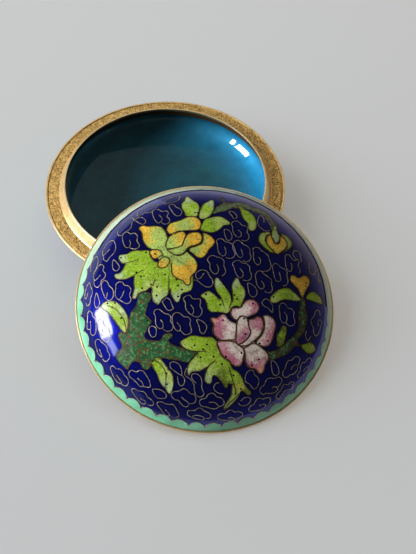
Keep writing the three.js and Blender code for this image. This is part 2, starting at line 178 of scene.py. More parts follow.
     "-16.18,-8.52 -17.47,-8.18 -18.77,-7.23 -19.93,-5.72 -20.35,-4.1 -20.15,-2.8 -19.2,-2.01 -18.12,-2.01 -16.96,-2.94 -15.63,-3.76 -15.17,-4.78 -15.19,-6.41 -15.21,-8.19",
     "-16.33,-7.89,palelime -17.86,-7.18,palelime -15.99,-6.79,palelime -18.43,-5.53,lemon -19.09,-4.15,yellow -19.35,-2.57,amber -17.53,-3.68,amber -16.15,-4.96,lemon -16.31,-4.32,yellow"),
    ('Y_E', 'yellow_e',
     "-16.34,-13.25 -15.38,-13.5 -14.66,-13.38 -13.6,-12.76 -13.5,-11.6 -13.88,-10.47 -13.6,-10.1 -15.58,-10.46 -16.32,-11.76",
     "-15.51,-12.87,amber -14.2,-12.01,amber -15.2,-10.86,yellow -13.99,-10.29,palelime"),
    ('Y_F', 'yellow_e',
     "-13.28,-10.18 -12.77,-11.2 -12.02,-11.99 -10.95,-12.27 -10.09,-11.61 -10.02,-10.31 -10.69,-9.25 -12.13,-8.57 -13.03,-9.36",
     "-11.39,-11.56,amber -10.53,-10.91,amber -11.5,-9.77,yellow -12.72,-9.44,palelime"),
    ('P_core', 'pcore',
     "15.53,2.06 14.45,3.52 16.17,6.01 17.62,8.62 18.81,10.13 20.06,7.99 19.41,5.16 18.35,3.07",
     "17.79,5.58,white 17.4,3.91,rose"),
    ('P_6', 'pink6',
     "15.07,-2.18 16.24,-2.06 17.38,-2.07 18.62,-1.67 19.79,-0.96 20.59,0 21.36,0.24 22.23,0.9 22.71,1.96 22.56,2.88 21.59,3.56 20.32,4.18 19.31,4.74 18.14,4.6 17.54,3.87 16.34,3.01 15.67,2.02 15.14,0.41 14.73,-1.23",
     "16.19,-1.12,pink 18.25,-0.5,rose 20.46,0.85,rose 21.63,2.52,pink 17.62,1.59,white 19.14,3.16,white 20.39,3.63,white 17.41,2.73,white"),
    ('P_7', 'pink7',
     "19.31,4.74 20.69,4.53 22.06,4.34 23.27,4.63 24.17,5.46 24.57,6.57 25.42,7.13 26.06,7.44 26.13,8.34 25.45,9.11 24.16,9.72 23.23,10.71 22.23,11.35 21.03,11.09 19.69,10.21 18.29,9.05 17.63,8.01 17.65,6.81 18.2,5.47 18.27,4.56",
     "18.76,6.43,white 19.62,8.61,white 21.4,9.77,white 21.17,7.01,white 23.06,5.34,rose 23.21,7.71,rose 22.94,9.79,pink 25.2,8.04,peach 22.07,4.39,pink"),
    ('P_5', 'pink5',
     "10.68,12.82 10.8,14.18 11.59,15.2 13.02,15.73 14.43,15.49 15.73,14.66 17.04,13.99 18.04,13.26 18.77,12.6 19.13,11.58 18.75,9.84 17.62,8.62 16.9,9.26 16.03,10.56 14.82,11.66 13.23,12.41 11.54,12.73",
     "11.15,14.17,white 13.3,13.16,white 12.94,15.34,pink 15.52,14.62,rose 16.37,13.14,rose 18.31,11.39,pink 16.62,10.62,white 17.81,9.08,white"),
    ('P_4', 'pink4',
     "10.9,8.36 10.88,9.57 10.54,10.73 10.75,11.73 11.73,12.22 13.17,12.12 14.48,11.44 15.7,10.35 16.54,8.91 17.1,7.56 17.65,6.21 17.6,4.74 17.07,3.7 16.76,4.22 16.66,4.99 16.17,6.01 15.31,7.29 14.01,7.94 12.83,7.82 11.7,7.99",
     "11.63,10.78,rose 13.61,11.01,rose 12.57,9.7,pink 13.85,8.53,white 15.6,7.66,white 15.64,9.67,white 16.96,5.3,white 14.78,8.78,white"),
    ('P_2', 'pink2',
     "8.01,-2 7.87,-1.38 8.28,-0.33 7.79,0.68 7.75,1.72 8.33,2.28 9.62,2.8 10.37,3.47 11.04,4.46 12.3,4.26 13.9,3.67 15.22,3.17 15,1.03 14.5,-1.02 13.42,-1.89 12.14,-2.41 10.74,-2.17 10,-1.68 8.9,-1.96",
     "8.6,0.16,rose 11.02,-1.09,rose 13.45,-0.59,rose 9.77,2.55,white 12.41,2.23,white 14.04,1,white 8.28,-1.87,peach 11.31,0.96,pink 13.71,2.84,white 11.47,3.17,white"),
    ('P_1', 'pink1',
     "7.27,4.05 6.74,4.35 6.54,5.15 6.94,6.51 6.71,7.47 6.07,7.96 5.53,8.86 5.26,10 5.59,11.26 6.51,12.06 7.75,12.3 8.7,11.87 9.39,10.91 9.71,9.61 9.95,8.04 9.42,6.99 9.51,6.08 10.04,5.19 9.88,4.49 8.86,3.9 7.93,3.72",
     "7.43,4.39,pink 6.29,9.9,pink 7.01,11.3,rose 7.84,7.83,white 8.97,5.93,white 8.78,10.39,pink 9.19,5.07,white 7.51,9.04,white"),
    ('P_3', 'pink3',
     "9.37,6.12 9.42,6.99 10.2,7.82 11.39,7.93 12.83,7.82 14.01,7.94 15.31,7.29 16.17,6.01 16.66,4.99 16.76,4.22 17,3.42 15.93,3.12 14.41,3.39 12.84,4.05 11.48,4.49 10.21,5.29",
     "10.25,6.37,white 12.27,5,white 13.44,6.67,pink 15.71,4.86,rose 15.1,3.85,pink 14.96,6.64,mauve 11.9,6.29,white"),
]
TEARDROPS = [
    "-17.46,-24.17 -14.44,-22.96 -13.67,-23.61 -13.59,-24.25 -14.37,-24.86 -15.62,-24.89",
    "-9.27,-31.55 -7.49,-31.3 -5.58,-31.43 -4.79,-32.64 -6.24,-32.96 -7.96,-32.37",
    "-29.34,-15.15 -29.58,-13.82 -29.2,-12.62 -27.98,-11.95 -26.93,-12.03 -26.32,-12.8 -27.04,-13.73 -28.61,-14.66",
    "-30.74,-3.75 -31.19,-3.01 -30.86,-2.15 -29.58,-1.87 -28.37,-0.96 -27.19,-0.67 -25.96,-1.48 -25.85,-2.43 -26.7,-3.12 -28.58,-3.54",
    "-23.73,13.03 -23.76,14.18 -22.86,14.67 -21.8,14.94 -21.07,14.52 -20.93,13.67 -22.04,13.41",
    "-17.63,9.57 -17.26,10.54 -16.07,11.09 -14.68,10.95 -13.78,10.2 -13.9,9.31 -15.23,9.11 -16.8,9.24",
    "0.38,11.15 0.85,11.93 1.95,12.81 3.37,13 4.46,12.36 4.71,11.37 3.96,10.69 2.43,10.69",
    "7.32,-5.86 7.87,-4.86 8.97,-4 10.05,-3.78 11.28,-4.63 11.68,-5.31 10.97,-5.84 9.23,-5.8",
    "6.12,-19.36 5.69,-18.76 5.91,-18.03 6.69,-17.48 7.72,-17.67 8.68,-18.16 8.82,-18.98 8.12,-19.46",
    "23.49,11.89 23.83,12.76 25.26,13.39 26.74,13.56 27.53,13.23 27.73,12.07 26.71,11.49 24.86,11.58",
    "17.07,-16.12 16.95,-15.32 17.4,-14.43 18.23,-13.79 19.18,-13.61 20.3,-13.67 21.08,-13.96 20.42,-14.8 19.33,-15.66 18.43,-16.34 17.71,-16.38",
    "29.93,5.09 29.3,4.55 28.42,4.22 27.52,3.25 26.68,3.08 25.67,3.49 24.74,4.4 24.62,5.18 24.99,6.02 26.12,6.09 26.9,6.77 27.79,7 28.84,6.69 29.66,6.03",
    "22.85,-22.93 23,-21.62 23.78,-20.36 24.85,-19.63 25.47,-19.5 26.03,-19.96 25.96,-20.98 25.53,-22.06 24.62,-22.69 23.51,-22.97",
]
CLOUD_WIRES = [
    "-22.25,-18.08 -20.73,-18.11 -19.77,-18.95 -20.31,-19.76 -21.96,-20.03 -24.29,-19.86 -25.4,-19.16 -25.54,-18.17 -24.23,-17.18 -24.21,-16.24 -22.69,-15.5 -21,-16.05 -19.36,-15.67 -18.53,-16.33 -18.63,-17.52 -19.42,-18.57",
    "-21.78,-24.42 -20.5,-26.85 -21.97,-26.93 -23.4,-25.83 -24.6,-24.26 -24.47,-22.93 -22.38,-22.5 -20.59,-22.87 -19.56,-23.89 -18.96,-24.98 -18.03,-26.16 -18.83,-26.99 -20.32,-26.88",
    "-16.96,-31.92 -19.49,-31.52 -21.07,-30.14 -21.47,-29.15 -20.23,-28.81 -18.8,-29.06 -17.06,-30.08 -15.89,-31.37",
    "-14.35,-29.08 -13.41,-31.16 -15.13,-31.34 -16.72,-30.14 -17.66,-29.09 -17.68,-28.06 -16.46,-27.47 -15.45,-28.01 -13.97,-27.51 -12.83,-28.09 -12.45,-29.16 -11.49,-29.7 -10.82,-30.86 -11.89,-31.65 -13.41,-31.51",
    "-8.01,-28.24 -6.41,-29.1 -8.05,-29.51 -10.12,-29.68 -11.36,-29.4 -11.93,-28.78 -11.98,-28.11 -11.2,-27.49 -9.94,-27.3 -8.48,-26.55 -6.88,-26.62 -5.81,-27.19 -5.42,-28.23 -6.05,-29.03",
    "-6.65,-23.46 -5.39,-24.38 -4.68,-25.47 -6.07,-26.2 -7.84,-25.77 -8.38,-25.48 -9.43,-25.23 -9.86,-24.2 -9.53,-23.36 -8.37,-22.88 -7.67,-21.85 -6.25,-21.45 -4.94,-22.23 -3.5,-22.15 -2.69,-22.95 -2.84,-23.81 -4,-24.88 -4.74,-25.61",
    "-10.59,-34.29 -9.06,-35.4 -9.56,-35.69 -11.68,-35.03 -13.32,-33.72 -13.69,-33.08 -12.38,-32.98 -10.48,-32.67 -9.32,-33.11 -8.63,-33.81 -7.19,-34.33 -6.68,-35.39 -7.83,-35.69",
    "-1.83,-35.54 0.45,-36.2 0.02,-37.25 -2.56,-36.48 -4.52,-35.75 -4.88,-35.09 -3.94,-34.43 -2.78,-34.37 -1.95,-33.89 0.31,-34.17 2.22,-34.9 2.67,-35.76 1.92,-36.47 0.73,-36.29",
    "1.87,-32.56 3.65,-32.73 3.03,-33.56 1.18,-33.55 -0.57,-33.23 -1.04,-32.43 -0.27,-31.64 0.97,-31.65 2.24,-30.7 3.84,-30.5 5.44,-31.11 6.01,-32.08 5.28,-32.87 3.87,-32.96",
    "7.12,-35 9.58,-34.93 8.37,-35.8 7.1,-35.91 5.55,-35.94 4.45,-35.58 4.21,-34.96 4.5,-34.17 5.42,-33.76 6.43,-33.04 7.37,-32.49 8.52,-32.67 9.54,-32.32 10.62,-32.67 11.19,-33.71 11.13,-34.39 10.18,-34.96",
    "15.91,-32.08 18.54,-31.32 18.29,-32.26 16.37,-33.12 14.63,-33.35 13.44,-33.27 13.04,-32.62 13.37,-32.05 14.28,-31.52 14.5,-30.77 15.36,-29.91 16.61,-29.67 17.82,-29.1 18.85,-29.12 19.69,-29.89 19.45,-30.8 18.64,-31.53",
    "18.51,-26.19 20.26,-25.19 21.11,-25.29 21.05,-26.04 19.64,-26.84 18.41,-27.55 17.62,-28.25 16.46,-28.2 15.95,-27.42 16.34,-26.61 16.81,-25.99 16.62,-25.18 17.08,-24.11 18.38,-23.58 19.65,-23.2 20.84,-23.09 21.92,-23.41 21.24,-25.33",
    "24.23,-27.07 24.65,-26.89 25.24,-26.13 25.92,-25.89 26.24,-26.48 25.92,-27.18 24.8,-27.92 23.43,-28.42 21.94,-28.87 21.24,-28.95 21.09,-28.41 21.34,-27.7 21.91,-27.25 22.3,-26.59 22.61,-25.75 23.53,-25.11 24.47,-24.94 25.25,-24.26 26.14,-23.77 26.76,-23.71 27.19,-24.25 27.1,-24.86 26.6,-25.64",
    "-30.45,-13.64 -31.07,-13.84 -32.63,-12.89 -32.92,-11.53 -32.98,-7.65 -32.79,-6.73 -31.75,-7.29 -30.86,-8.61 -30.24,-9.86 -30.72,-11.34 -30.28,-12.39",
    "-29.34,-15.15 -30.16,-15.32 -30.83,-16.01 -30.02,-17.97 -28.75,-19.85 -27.73,-20.52 -26.66,-21.04 -25.49,-20.92 -25.09,-20.19 -25.6,-19.12 -25.92,-18.09 -26.26,-17.06 -27.23,-16.38 -28.38,-15.99 -29.34,-15.15",
    "-28.1,-7.55 -26.4,-7.05 -25.51,-7.43 -25.08,-8.47 -26.58,-9.17 -28.59,-9.3 -30.12,-9.1 -30.73,-8.32 -30.5,-7.27 -29.51,-6.58 -29.02,-5.92 -28.9,-5.02 -27.88,-4.66 -26.66,-5.44 -25.7,-5.08 -24.7,-5.11 -23.95,-5.85 -24.16,-7.02 -24.95,-7.58",
    "-32.84,-5.12 -34.2,-3.19 -34.49,-1.19 -34.43,0.41 -33.28,0.41 -32.14,-0.86 -32.1,-2.77 -31.99,-4.38 -32.84,-5.12",
    "30.41,-8.41 30.79,-6.95 31.65,-6.15 32.32,-5.88 32.66,-6.87 32.37,-7.95 31.48,-9.42 31.03,-10.46 29.88,-11 29.06,-10.48 29.01,-8.98 28.21,-8.07 28.09,-6.96 28.67,-6.29 29.43,-5.82 30.04,-4.79 31.01,-4.19 31.83,-4.22 32.29,-4.96 32.42,-5.82",
    "25.74,-4.34 25.8,-5.22 26.33,-5.93 27.13,-6.12 27.95,-5.74 28.62,-5.02 29.07,-3.96",
    "36.4,-3.91 36.37,-3.06 36.94,-2.31 37.61,-1.97 37.51,-2.94 37.15,-4.1 36.73,-5.23 36.2,-6.34 35.42,-6.94 34.63,-6.45 34.52,-5.6 34.73,-4.45 34.21,-3.51 34.23,-2.5 35.04,-1.66 35.26,-0.49 36.06,0.48 36.85,0.28 37.27,-0.8 37.41,-1.86",
    "32.34,0.62 31.75,1.66 31.86,3 32.51,3.58 33.26,3.26 33.86,2.3 33.88,1.11 33.26,0.02 32.7,-0.08",
    "35.09,5.68 34.92,6.88 35.43,7.81 36.12,7.45 36.55,6.34 36.41,5.27 36.25,4.02 36.16,3 35.47,2.48 34.6,3.13 34.23,4.3 33.38,4.97 32.89,6.11 33.45,7.24 33.36,8.18 33.68,9.39 34.58,9.53 35.42,8.82",
    "30.99,10.5 30.75,11.35 31.41,12.22 31.98,12.14 32.42,11.25 32.41,9.63 32,8.36 32.16,7.45 30.93,6.67 30.04,7.22 29.56,8.24 28.58,9 28.05,9.79 28.15,10.87 28.5,11.76 28.33,12.92 28.83,13.8 29.73,13.91 30.59,13.17 31.16,12.42",
    "27.22,17.37 26.44,18.26 26.17,19.35 26.8,19.95 27.72,19.44 28.5,18.26 28.64,16.85 29.07,15.52 28.27,14.56 27.28,14.68 26.45,15.57 25.3,16.3 24.47,17.15 24.56,18.3 23.88,19.29 23.94,20.32 24.65,20.98 25.61,20.62 26.24,20.12",
    "28.62,21.52 27.9,22.37 27.49,23.59 27.95,24.07 28.9,23.47 29.38,22.22 30.02,21 30.21,19.84 29.64,19.35 28.81,19.64 27.97,20.59 26.83,20.84 25.97,21.71 26.09,22.62 25.32,23.69 25.18,24.49 25.74,25.13 26.71,24.68 27.51,24.11",
    "31.36,16.99 32.12,17.57 32.81,16.87 32.66,15.45 33,14.37 33.95,13.25 34.8,12.32 34.62,11.66 33.92,11.39 33.01,12 32.26,13.26 31.35,13.82 30.9,14.46 31.22,15.78 30.73,16.89 30.94,17.75 31.71,17.79",
    "29.31,-20.9 30.37,-20.46 31.25,-20.11 31.49,-20.49 31.3,-21.05 30.21,-21.79 28.82,-22.29 27.45,-22.79 26.81,-22.68 26.66,-22.09 26.93,-21.26 27.57,-20.55 28.08,-19.49 28.43,-18.4 29.61,-17.89 30.74,-17.69 31.72,-17.51 32.36,-17.93 32.3,-18.73",
    "26.97,-15.51 27.84,-15 28.6,-14.33 29.44,-13.95 29.92,-14.37 30,-14.98 29.51,-15.73 28.55,-16.22 27.54,-16.68 27.39,-17.23 26.63,-17.91 25.82,-18.19 25.19,-17.81 24.97,-17.02 25.17,-16.05 25.04,-15.15 24.82,-14.37 25.27,-13.76 25.85,-13.19 26.64,-12.95 27.19,-11.93 27.98,-11.69 28.84,-11.76 29.52,-12.51 29.53,-13.25 29.33,-13.78",
    "24.25,-10.61 23.24,-11.22 22.33,-11.41 21.7,-11.11 21.62,-10.37 22.13,-9.5 22.97,-8.99 24.41,-8.92 25.73,-9.31 26.89,-9.25 27.77,-9.18 28.31,-9.89 28.27,-10.6 27.82,-11.22 27.17,-11.49 26.02,-11.49 24.64,-11.29 23.43,-11.55 22.42,-12.16 21.75,-12.84 21.18,-13.04 20.29,-12.69 19.62,-12",
    "21.18,-15.14 22.14,-15.31 23.29,-15.27 23.97,-14.87 23.85,-14.26 23.29,-13.68 22.36,-13.44 21.58,-13.66 21.08,-13.96",
    "33.18,-13.86 33.16,-12.82 33.43,-11.99 34.17,-10.98 34.76,-10.67 35.02,-11.17 34.48,-12.53 33.69,-13.84 33.09,-14.58 32.32,-15.13 31.73,-14.98 31.28,-14.72 31.41,-13.86 31.64,-12.74 31.33,-12.08 31.28,-11.34 31.77,-10.72 32.52,-10.16 33.21,-9.28 33.97,-8.72 34.55,-8.69 34.95,-9.22 34.87,-10.24",
    "-16.7,13.5 -15.69,14.11 -14.51,13.71 -14.22,12.83 -15.17,12.04 -16.46,11.84 -18.03,12.2 -19.14,12.26 -19.85,12.97 -19.99,13.98 -19.27,14.86 -18.15,15.27 -17.73,16.26 -16.91,16.77 -15.56,15.98 -14.28,16.18 -12.99,15.42 -12.65,14.35 -13.16,13.42",
    "-11.91,7.77 -10.56,7.81 -9.51,7.34 -9.21,6.49 -10.01,5.83 -11.38,5.64 -12.99,5.97 -14.33,6.08 -14.88,7.01 -14.59,7.99 -13.63,8.46 -13.07,9.51 -12.06,10.27 -10.76,10.01 -9.73,10.15 -8.49,9.76 -8.03,8.86 -8.1,7.82 -8.56,7.2",
    "-10.3,12.33 -8.95,12.37 -8.02,12.07 -7.58,11.32 -8.1,10.87 -9.67,10.44 -10.99,10.54 -12.35,10.51 -13.04,11.35 -13.26,12.36 -12.54,13.06 -11.59,13.53 -10.92,14.41 -9.66,14.87 -8.38,14.52 -7.24,14.46 -6.24,13.67 -6.04,12.53 -6.64,11.64",
    "-6.85,16.69 -5.81,16.99 -4.76,16.48 -4.4,15.74 -5.33,15.09 -6.79,15.1 -8.36,15.61 -9.65,15.88 -10.07,16.82 -9.76,17.68 -8.75,18.3 -7.79,19.1 -6.86,19.75 -5.71,19.68 -4.39,19.72 -3.14,19.46 -2.32,18.55 -2.07,17.19 -2.4,16.19",
    "-7.21,3.95 -5.88,4.16 -4.73,3.67 -4.31,2.81 -5.13,2.01 -6.45,1.79 -7.64,2.14 -9.01,1.79 -9.94,2.66 -10.01,3.73 -9.29,4.71 -8.72,5.75 -7.62,6.32 -6.12,5.87 -4.83,5.94 -3.83,5.49 -3.29,4.44",
    "-4.37,10.17 -3,10.66 -1.97,10.35 -1.53,9.46 -2.31,8.79 -3.94,8.52 -5.19,8.6 -6.18,8.45 -6.93,9.44 -6.85,10.63 -5.88,11.4 -5.53,12.36 -4.42,13.09 -3.04,12.82 -1.76,12.88 -0.64,12.23 -0.35,11.07 -0.8,9.99",
    "-18.38,22.69 -20.18,23.26 -21.11,22.94 -20.86,21.96 -19.88,21.22 -18.74,20.6 -17.2,20.51 -16.01,21.07 -15.16,22.1 -15.23,23.51",
    "-20.16,23.78 -18.9,24.32 -16.9,24.54",
    "0.57,15.25 1.88,15.62 2.73,15.2 2.88,14.38 1.66,13.67 -0.03,13.73 -1.54,14.04 -2.47,14.96 -2.43,16.04 -1.37,16.65 -0.27,17.56 0.81,18.33 2.28,17.86 3.5,17.79 4.41,16.87 4.22,15.83 3.65,15.23",
    "-1.24,21.43 0.35,21.39 1.4,21.05 1.55,20.02 0.68,19.49 -0.56,19.58 -2.13,19.77 -3.37,20.03 -4.03,21.07 -3.59,21.91 -2.53,22.54 -1.75,23.61 -0.9,23.99 0.33,23.57 1.89,23.38 3.02,22.5 3.15,21.29",
    "-3.6,26.18 -3.08,26.34 -1.96,26.1 -0.91,25.2 -1.32,24.48 -2.49,24.21 -3.77,24.5 -5.71,25.04 -6.33,25.62 -6.44,26.37 -5.71,26.98 -4.85,27.18 -4.29,27.87 -4.55,29.08 -3.7,29.3 -2.41,28.42 -1.08,28.65 0.01,28.06",
    "-4.75,28.6 -5.8,28.1 -6.82,28.32 -7.49,28.97 -7.46,30.09 -6.56,30.87 -5.35,30.54 -3.65,30.22",
    "-3.6,33.2 -1.56,32.31 0.1,32.23 0.78,32.99 -0.54,34.64 -2.65,35.89 0.11,35.5 3.11,34.63 2.44,35.62",
    "6.06,14.34 6.09,15.26 7.45,16.1 8.39,16.29 10.22,15.75 8.7,14.79 7.9,13.79 6.8,13.5 6.06,14.34",
    "2.87,-6.38 4.17,-6.01 5.14,-6.27 5.55,-6.96 4.61,-7.72 3.18,-8.05 1.92,-7.71 0.51,-7.9 -0.02,-7.04 0.13,-5.92 1.15,-5.47 1.54,-4.56 1.82,-3.48 2.98,-3.65 3.79,-4.02 5.04,-3.79 6.11,-4.23 6.64,-5.39 6.31,-6.31 5.72,-6.87",
    "4.61,-15.64 5.9,-15.26 6.86,-15.51 7.13,-16.3 6.25,-17.08 4.9,-17.16 3.53,-16.79 2.16,-16.87 1.53,-16.27 1.67,-15.29 2.52,-14.65 3.31,-13.99 3.89,-13 4.74,-12.64 5.8,-13.07 7.08,-12.69 8.13,-13.12 8.48,-13.93 8.18,-15 7.4,-15.65",
    "6.69,-11.44 7.87,-10.9 8.72,-10.98 9.16,-11.53 8.66,-12.25 7.39,-12.63 5.95,-12.54 4.57,-12.17 3.93,-11.28 4.17,-10.19 5,-9.55 5.64,-9.15 5.99,-8.09 6.99,-7.64 8.05,-8.07 9.52,-8.04 10.33,-8.26 10.69,-9.07 10.54,-10.18 9.65,-10.8 8.96,-11.19",
    "-5.38,-0.29 -4.27,-1.48 -4.05,-2.43 -4.77,-2.81 -5.79,-2.52 -6.38,-1.48 -6.3,-0.17 -5.62,0.67 -4.13,0.98 -3.09,1.42 -1.86,1.36 -0.99,0.53 -1.12,-0.61 -2.18,-1.78 -3.68,-2.82 -4.07,-3.74",
    "2.57,-11.35 1.16,-11.55 -0.08,-11.65 -0.87,-12.31 -0.54,-13.26 -0.1,-13.81 1.36,-13.48 2.35,-13.16 2.86,-12.43 2.57,-11.35",
    "10.71,19.27 11.7,19.8 12.85,19.62 13.75,18.88 13.75,18.07 12.49,17.62 10.77,17.9 9.33,18.17 8.25,18.88 8.13,19.89 8.83,20.49 9.79,20.86 10.25,21.88 11.24,22.42 12.63,21.84 13.85,22 14.78,21.4 15.01,20.17 14.59,19.46 13.78,19.03",
    "16.44,29.72 15.27,30.04 14.63,31.05 15.43,31.48 16.85,30.67 18.24,29.7 19.15,28.65 19.04,27.87 17.95,27.54 16.8,27.83 15.54,27.4 14.36,27.54 13.73,28.48 12.78,29.35 11.93,30 11.72,30.87 12.38,31.5 13.59,31.35",
    "17.29,25.08 18.65,24.36 20.04,24.76 18.96,26.33",
]
VEINS = [
    "-15.08,-21.11 -14.85,-19.64 -14.71,-16.96",
    "-10.06,-20.8 -10.58,-18.58 -11.13,-16.65",
    "-5.2,-15.91 -5.81,-15.13 -6.78,-14.41 -7,-13.89 -6.67,-13.54",
    "-1.89,-11.57 -4.45,-10.83 -7.29,-10.07",
    "-4.24,-29.32 -3.01,-27.74 -1.35,-26.62 0.78,-25.8 2.82,-25.58 4.57,-25.74",
    "15.96,-8.03 16.33,-6.84 16.57,-5.61",
    "21.16,-7.81 20.85,-6.58 20.32,-5.58 19.93,-4.9 19.74,-3.99",
    "22.29,-0.58 23.69,-0.63 25.43,-0.47 27.46,-0.36 28.92,-0.25 30.05,-0.34",
    "33.45,-4.32 32.04,-2.84 31.29,-1.2 30.19,0.22",
    "22.26,-7.37 21.4,-6.87 20.61,-6.09",
    "2.65,2.28 4.19,2.43 5.41,2.52",
    "4.22,5.07 5.28,4.47 6.3,3.74",
]
PITS = "-25.72,2.94 -25.53,3.66 -10.93,-18.64 -9.3,-17.71 -6.05,-15.6 -4.45,-16.69 -5.73,-18.32 -0.46,-9.23 -4.88,-14.15 -2.42,-14.94 -7.83,-11.04 -5.46,-8.32 -3.61,-8.38 -2.16,-7.61 -4.77,-29.03 -3.06,-27.88 0.77,-26.25 -4.09,-26.85 3.11,-19.15 3.97,-19.23 0.96,-1.49 4.75,1.62 2.99,6.32 4.29,6.69 10.18,7.08 14.52,6.31 17.83,12.23 17.98,9.58 14.18,-8.42 14.79,-4.99 3.18,29.41 4.18,28.87 5.87,17.37 6.54,28.31 -14.99,-12.11 15.25,-20.79 18.66,-17.07 19.57,-17.89 22.48,-18.54 24.87,0.1 27.18,-0.88 29.03,1.36 29.87,-0.46 19.38,3.83 19.29,-0.69 23.43,5.94 22.27,8.34 -20.02,-6 -19.15,-7.28 17.74,-7.64 15.79,-6.41 18.44,-4.08 21.01,-2.29 6.55,10.83 9.23,1.15 -16.24,-14.47 -17.33,-21.83"


def read_points(text):
    return np.array([[float(c) for c in w.split(",")] for w in text.split()])


# ------------------------------------------------------------- turned profiles
class Shell:
    """A rounded section: r from the axis to the mouth, z = mouth + rise (1 - (r/R)^p)^q."""

    def __init__(self, r, mouth, rise, p, q):
        self.r, self.mouth, self.rise, self.p, self.q = r, mouth, rise, p, q

    def at(self, a):
        s = np.sin(a)
        return self.r * s, self.mouth + self.rise * np.power(np.clip(1 - s ** self.p, 0, 1), self.q)


BASE_IN = Shell(BOWL_R, BASE_TOP, BOWL_FLOOR_Z - BASE_TOP, 2.4, 1 / 2.4)
BASE_OUT = Shell(SHELL_R, BASE_TOP, BASE_BOTTOM_Z - BASE_TOP, 3.2, 0.62)
LID_IN = Shell(LID_INNER_R, LID_RING_T, LID_RISE - LID_WALL, 2.3, 0.65)
LID_OUT = Shell(SHELL_R, LID_RING_T, LID_RISE, 2.3, 0.65)


def layer(inner, outer, t, a):
    r0, z0 = inner.at(a)
    r1, z1 = outer.at(a)
    return r0 + (r1 - r0) * t, z0 + (z1 - z0) * t


def arc(inner, outer, t, a0, a1, n):
    a = np.linspace(a0, a1, n)
    r, z = layer(inner, outer, t, a)
    return [(float(x), float(y)) for x, y in zip(r, z)]


def angle_at(inner, outer, t, radius):
    return math.asin(radius / (inner.r + (outer.r - inner.r) * t))


HALF = math.pi / 2


def rounded(points, radius, steps=4):
    """A closed section with each corner rounded; radius is one number, or one for each corner."""
    n = len(points)
    radii = radius if hasattr(radius, "__len__") else [radius] * n
    out = []
    for i in range(n):
        p, q, s = (np.array(points[(i + k) % n], float) for k in (-1, 0, 1))
        a, b = p - q, s - q
        la, lb = np.linalg.norm(a), np.linalg.norm(b)
        c = min(radii[i], la * 0.45, lb * 0.45)
        if c < 1e-4:
            out.append(tuple(q))
            continue
        s0, s1 = q + a / la * c, q + b / lb * c
        for k in range(steps + 1):
            t = k / steps
            w = (1 - t) ** 2 * s0 + 2 * t * (1 - t) * q + t * t * s1
            out.append(tuple(w))
    return out


# ------------------------------------------------------------------ mesh making
def srgb(r, g, b):
    c = np.array([r, g, b], float) / 255.0
    return np.where(c <= 0.04045, c / 12.92, ((c + 0.055) / 1.055) ** 2.4)


def make_object(name, verts, faces, material, node=None, smooth_angle=None, normals=None, colours=None, zones=None, extra_materials=(), material_index=None):
    mesh = bpy.data.meshes.new(name)
    mesh.from_pydata((np.asarray(verts) * MM).tolist(), [], faces)
    mesh.materials.append(material)
    for m in extra_materials:
        mesh.materials.append(m)
    if material_index is not None:
        mesh.polygons.foreach_set("material_index", np.asarray(material_index, np.int32))
    mesh.polygons.foreach_set("use_smooth", np.ones(len(mesh.polygons), bool))
    if colours is not None:  # one colour per vertex, or one per face corner
        corner = len(colours) != len(verts)
        attribute = mesh.color_attributes.new("Col", "FLOAT_COLOR", "CORNER" if corner else "POINT")
        rgba = np.ones((len(colours), 4), np.float32)
        rgba[:, :3] = colours
        attribute.data.foreach_set("color", rgba.ravel())
        mesh.color_attributes.active_color = attribute
    if zones is not None:
        attribute = mesh.attributes.new("zone", "FLOAT", "POINT")
        attribute.data.foreach_set("value", np.asarray(zones, np.float32))
    if smooth_angle is not None:
        mesh.set_sharp_from_angle(angle=math.radians(smooth_angle))
    if normals is not None:
        mesh.normals_split_custom_set_from_vertices(np.asarray(normals).tolist())
    obj = bpy.data.objects.new(name, mesh)
    bpy.context.scene.collection.objects.link(obj)
    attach(obj, "root")
    if node:
        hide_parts(node)
    return obj


def turned(section, place, segments=256, wobble=None):
    """Vertices and faces of a closed section [r, z], anticlockwise, turned round the axis."""
    section = [p for i, p in enumerate(section) if math.dist(p, section[(i + 1) % len(section)]) > 1e-5]
    n = len(section)
    verts, index = [], {}
    for j, (r, z) in enumerate(section):
        if r < 1e-6:
            index[j] = [len(verts)] * segments
            verts.append((0.0, 0.0, z))
        else:
            index[j] = list(range(len(verts), len(verts) + segments))
            for i in range(segments):
                a = 2 * math.pi * i / segments
                dr, dz = (0.0, 0.0) if wobble is None else wobble(j, r, z, a)
                verts.append(((r + dr) * math.cos(a), (r + dr) * math.sin(a), z + dz))
    faces, rows = [], []
    for j in range(n):
        k = (j + 1) % n
        if section[j][0] < 1e-6 and section[k][0] < 1e-6:
            continue
        for i in range(segments):
            m = (i + 1) % segments
            f = [index[j][i], index[j][m], index[k][m], index[k][i]]
            f = [v for t, v in enumerate(f) if v != f[t - 1]]
            faces.append(f)
            rows.append(j)
    return place(np.array(verts)), faces, rows


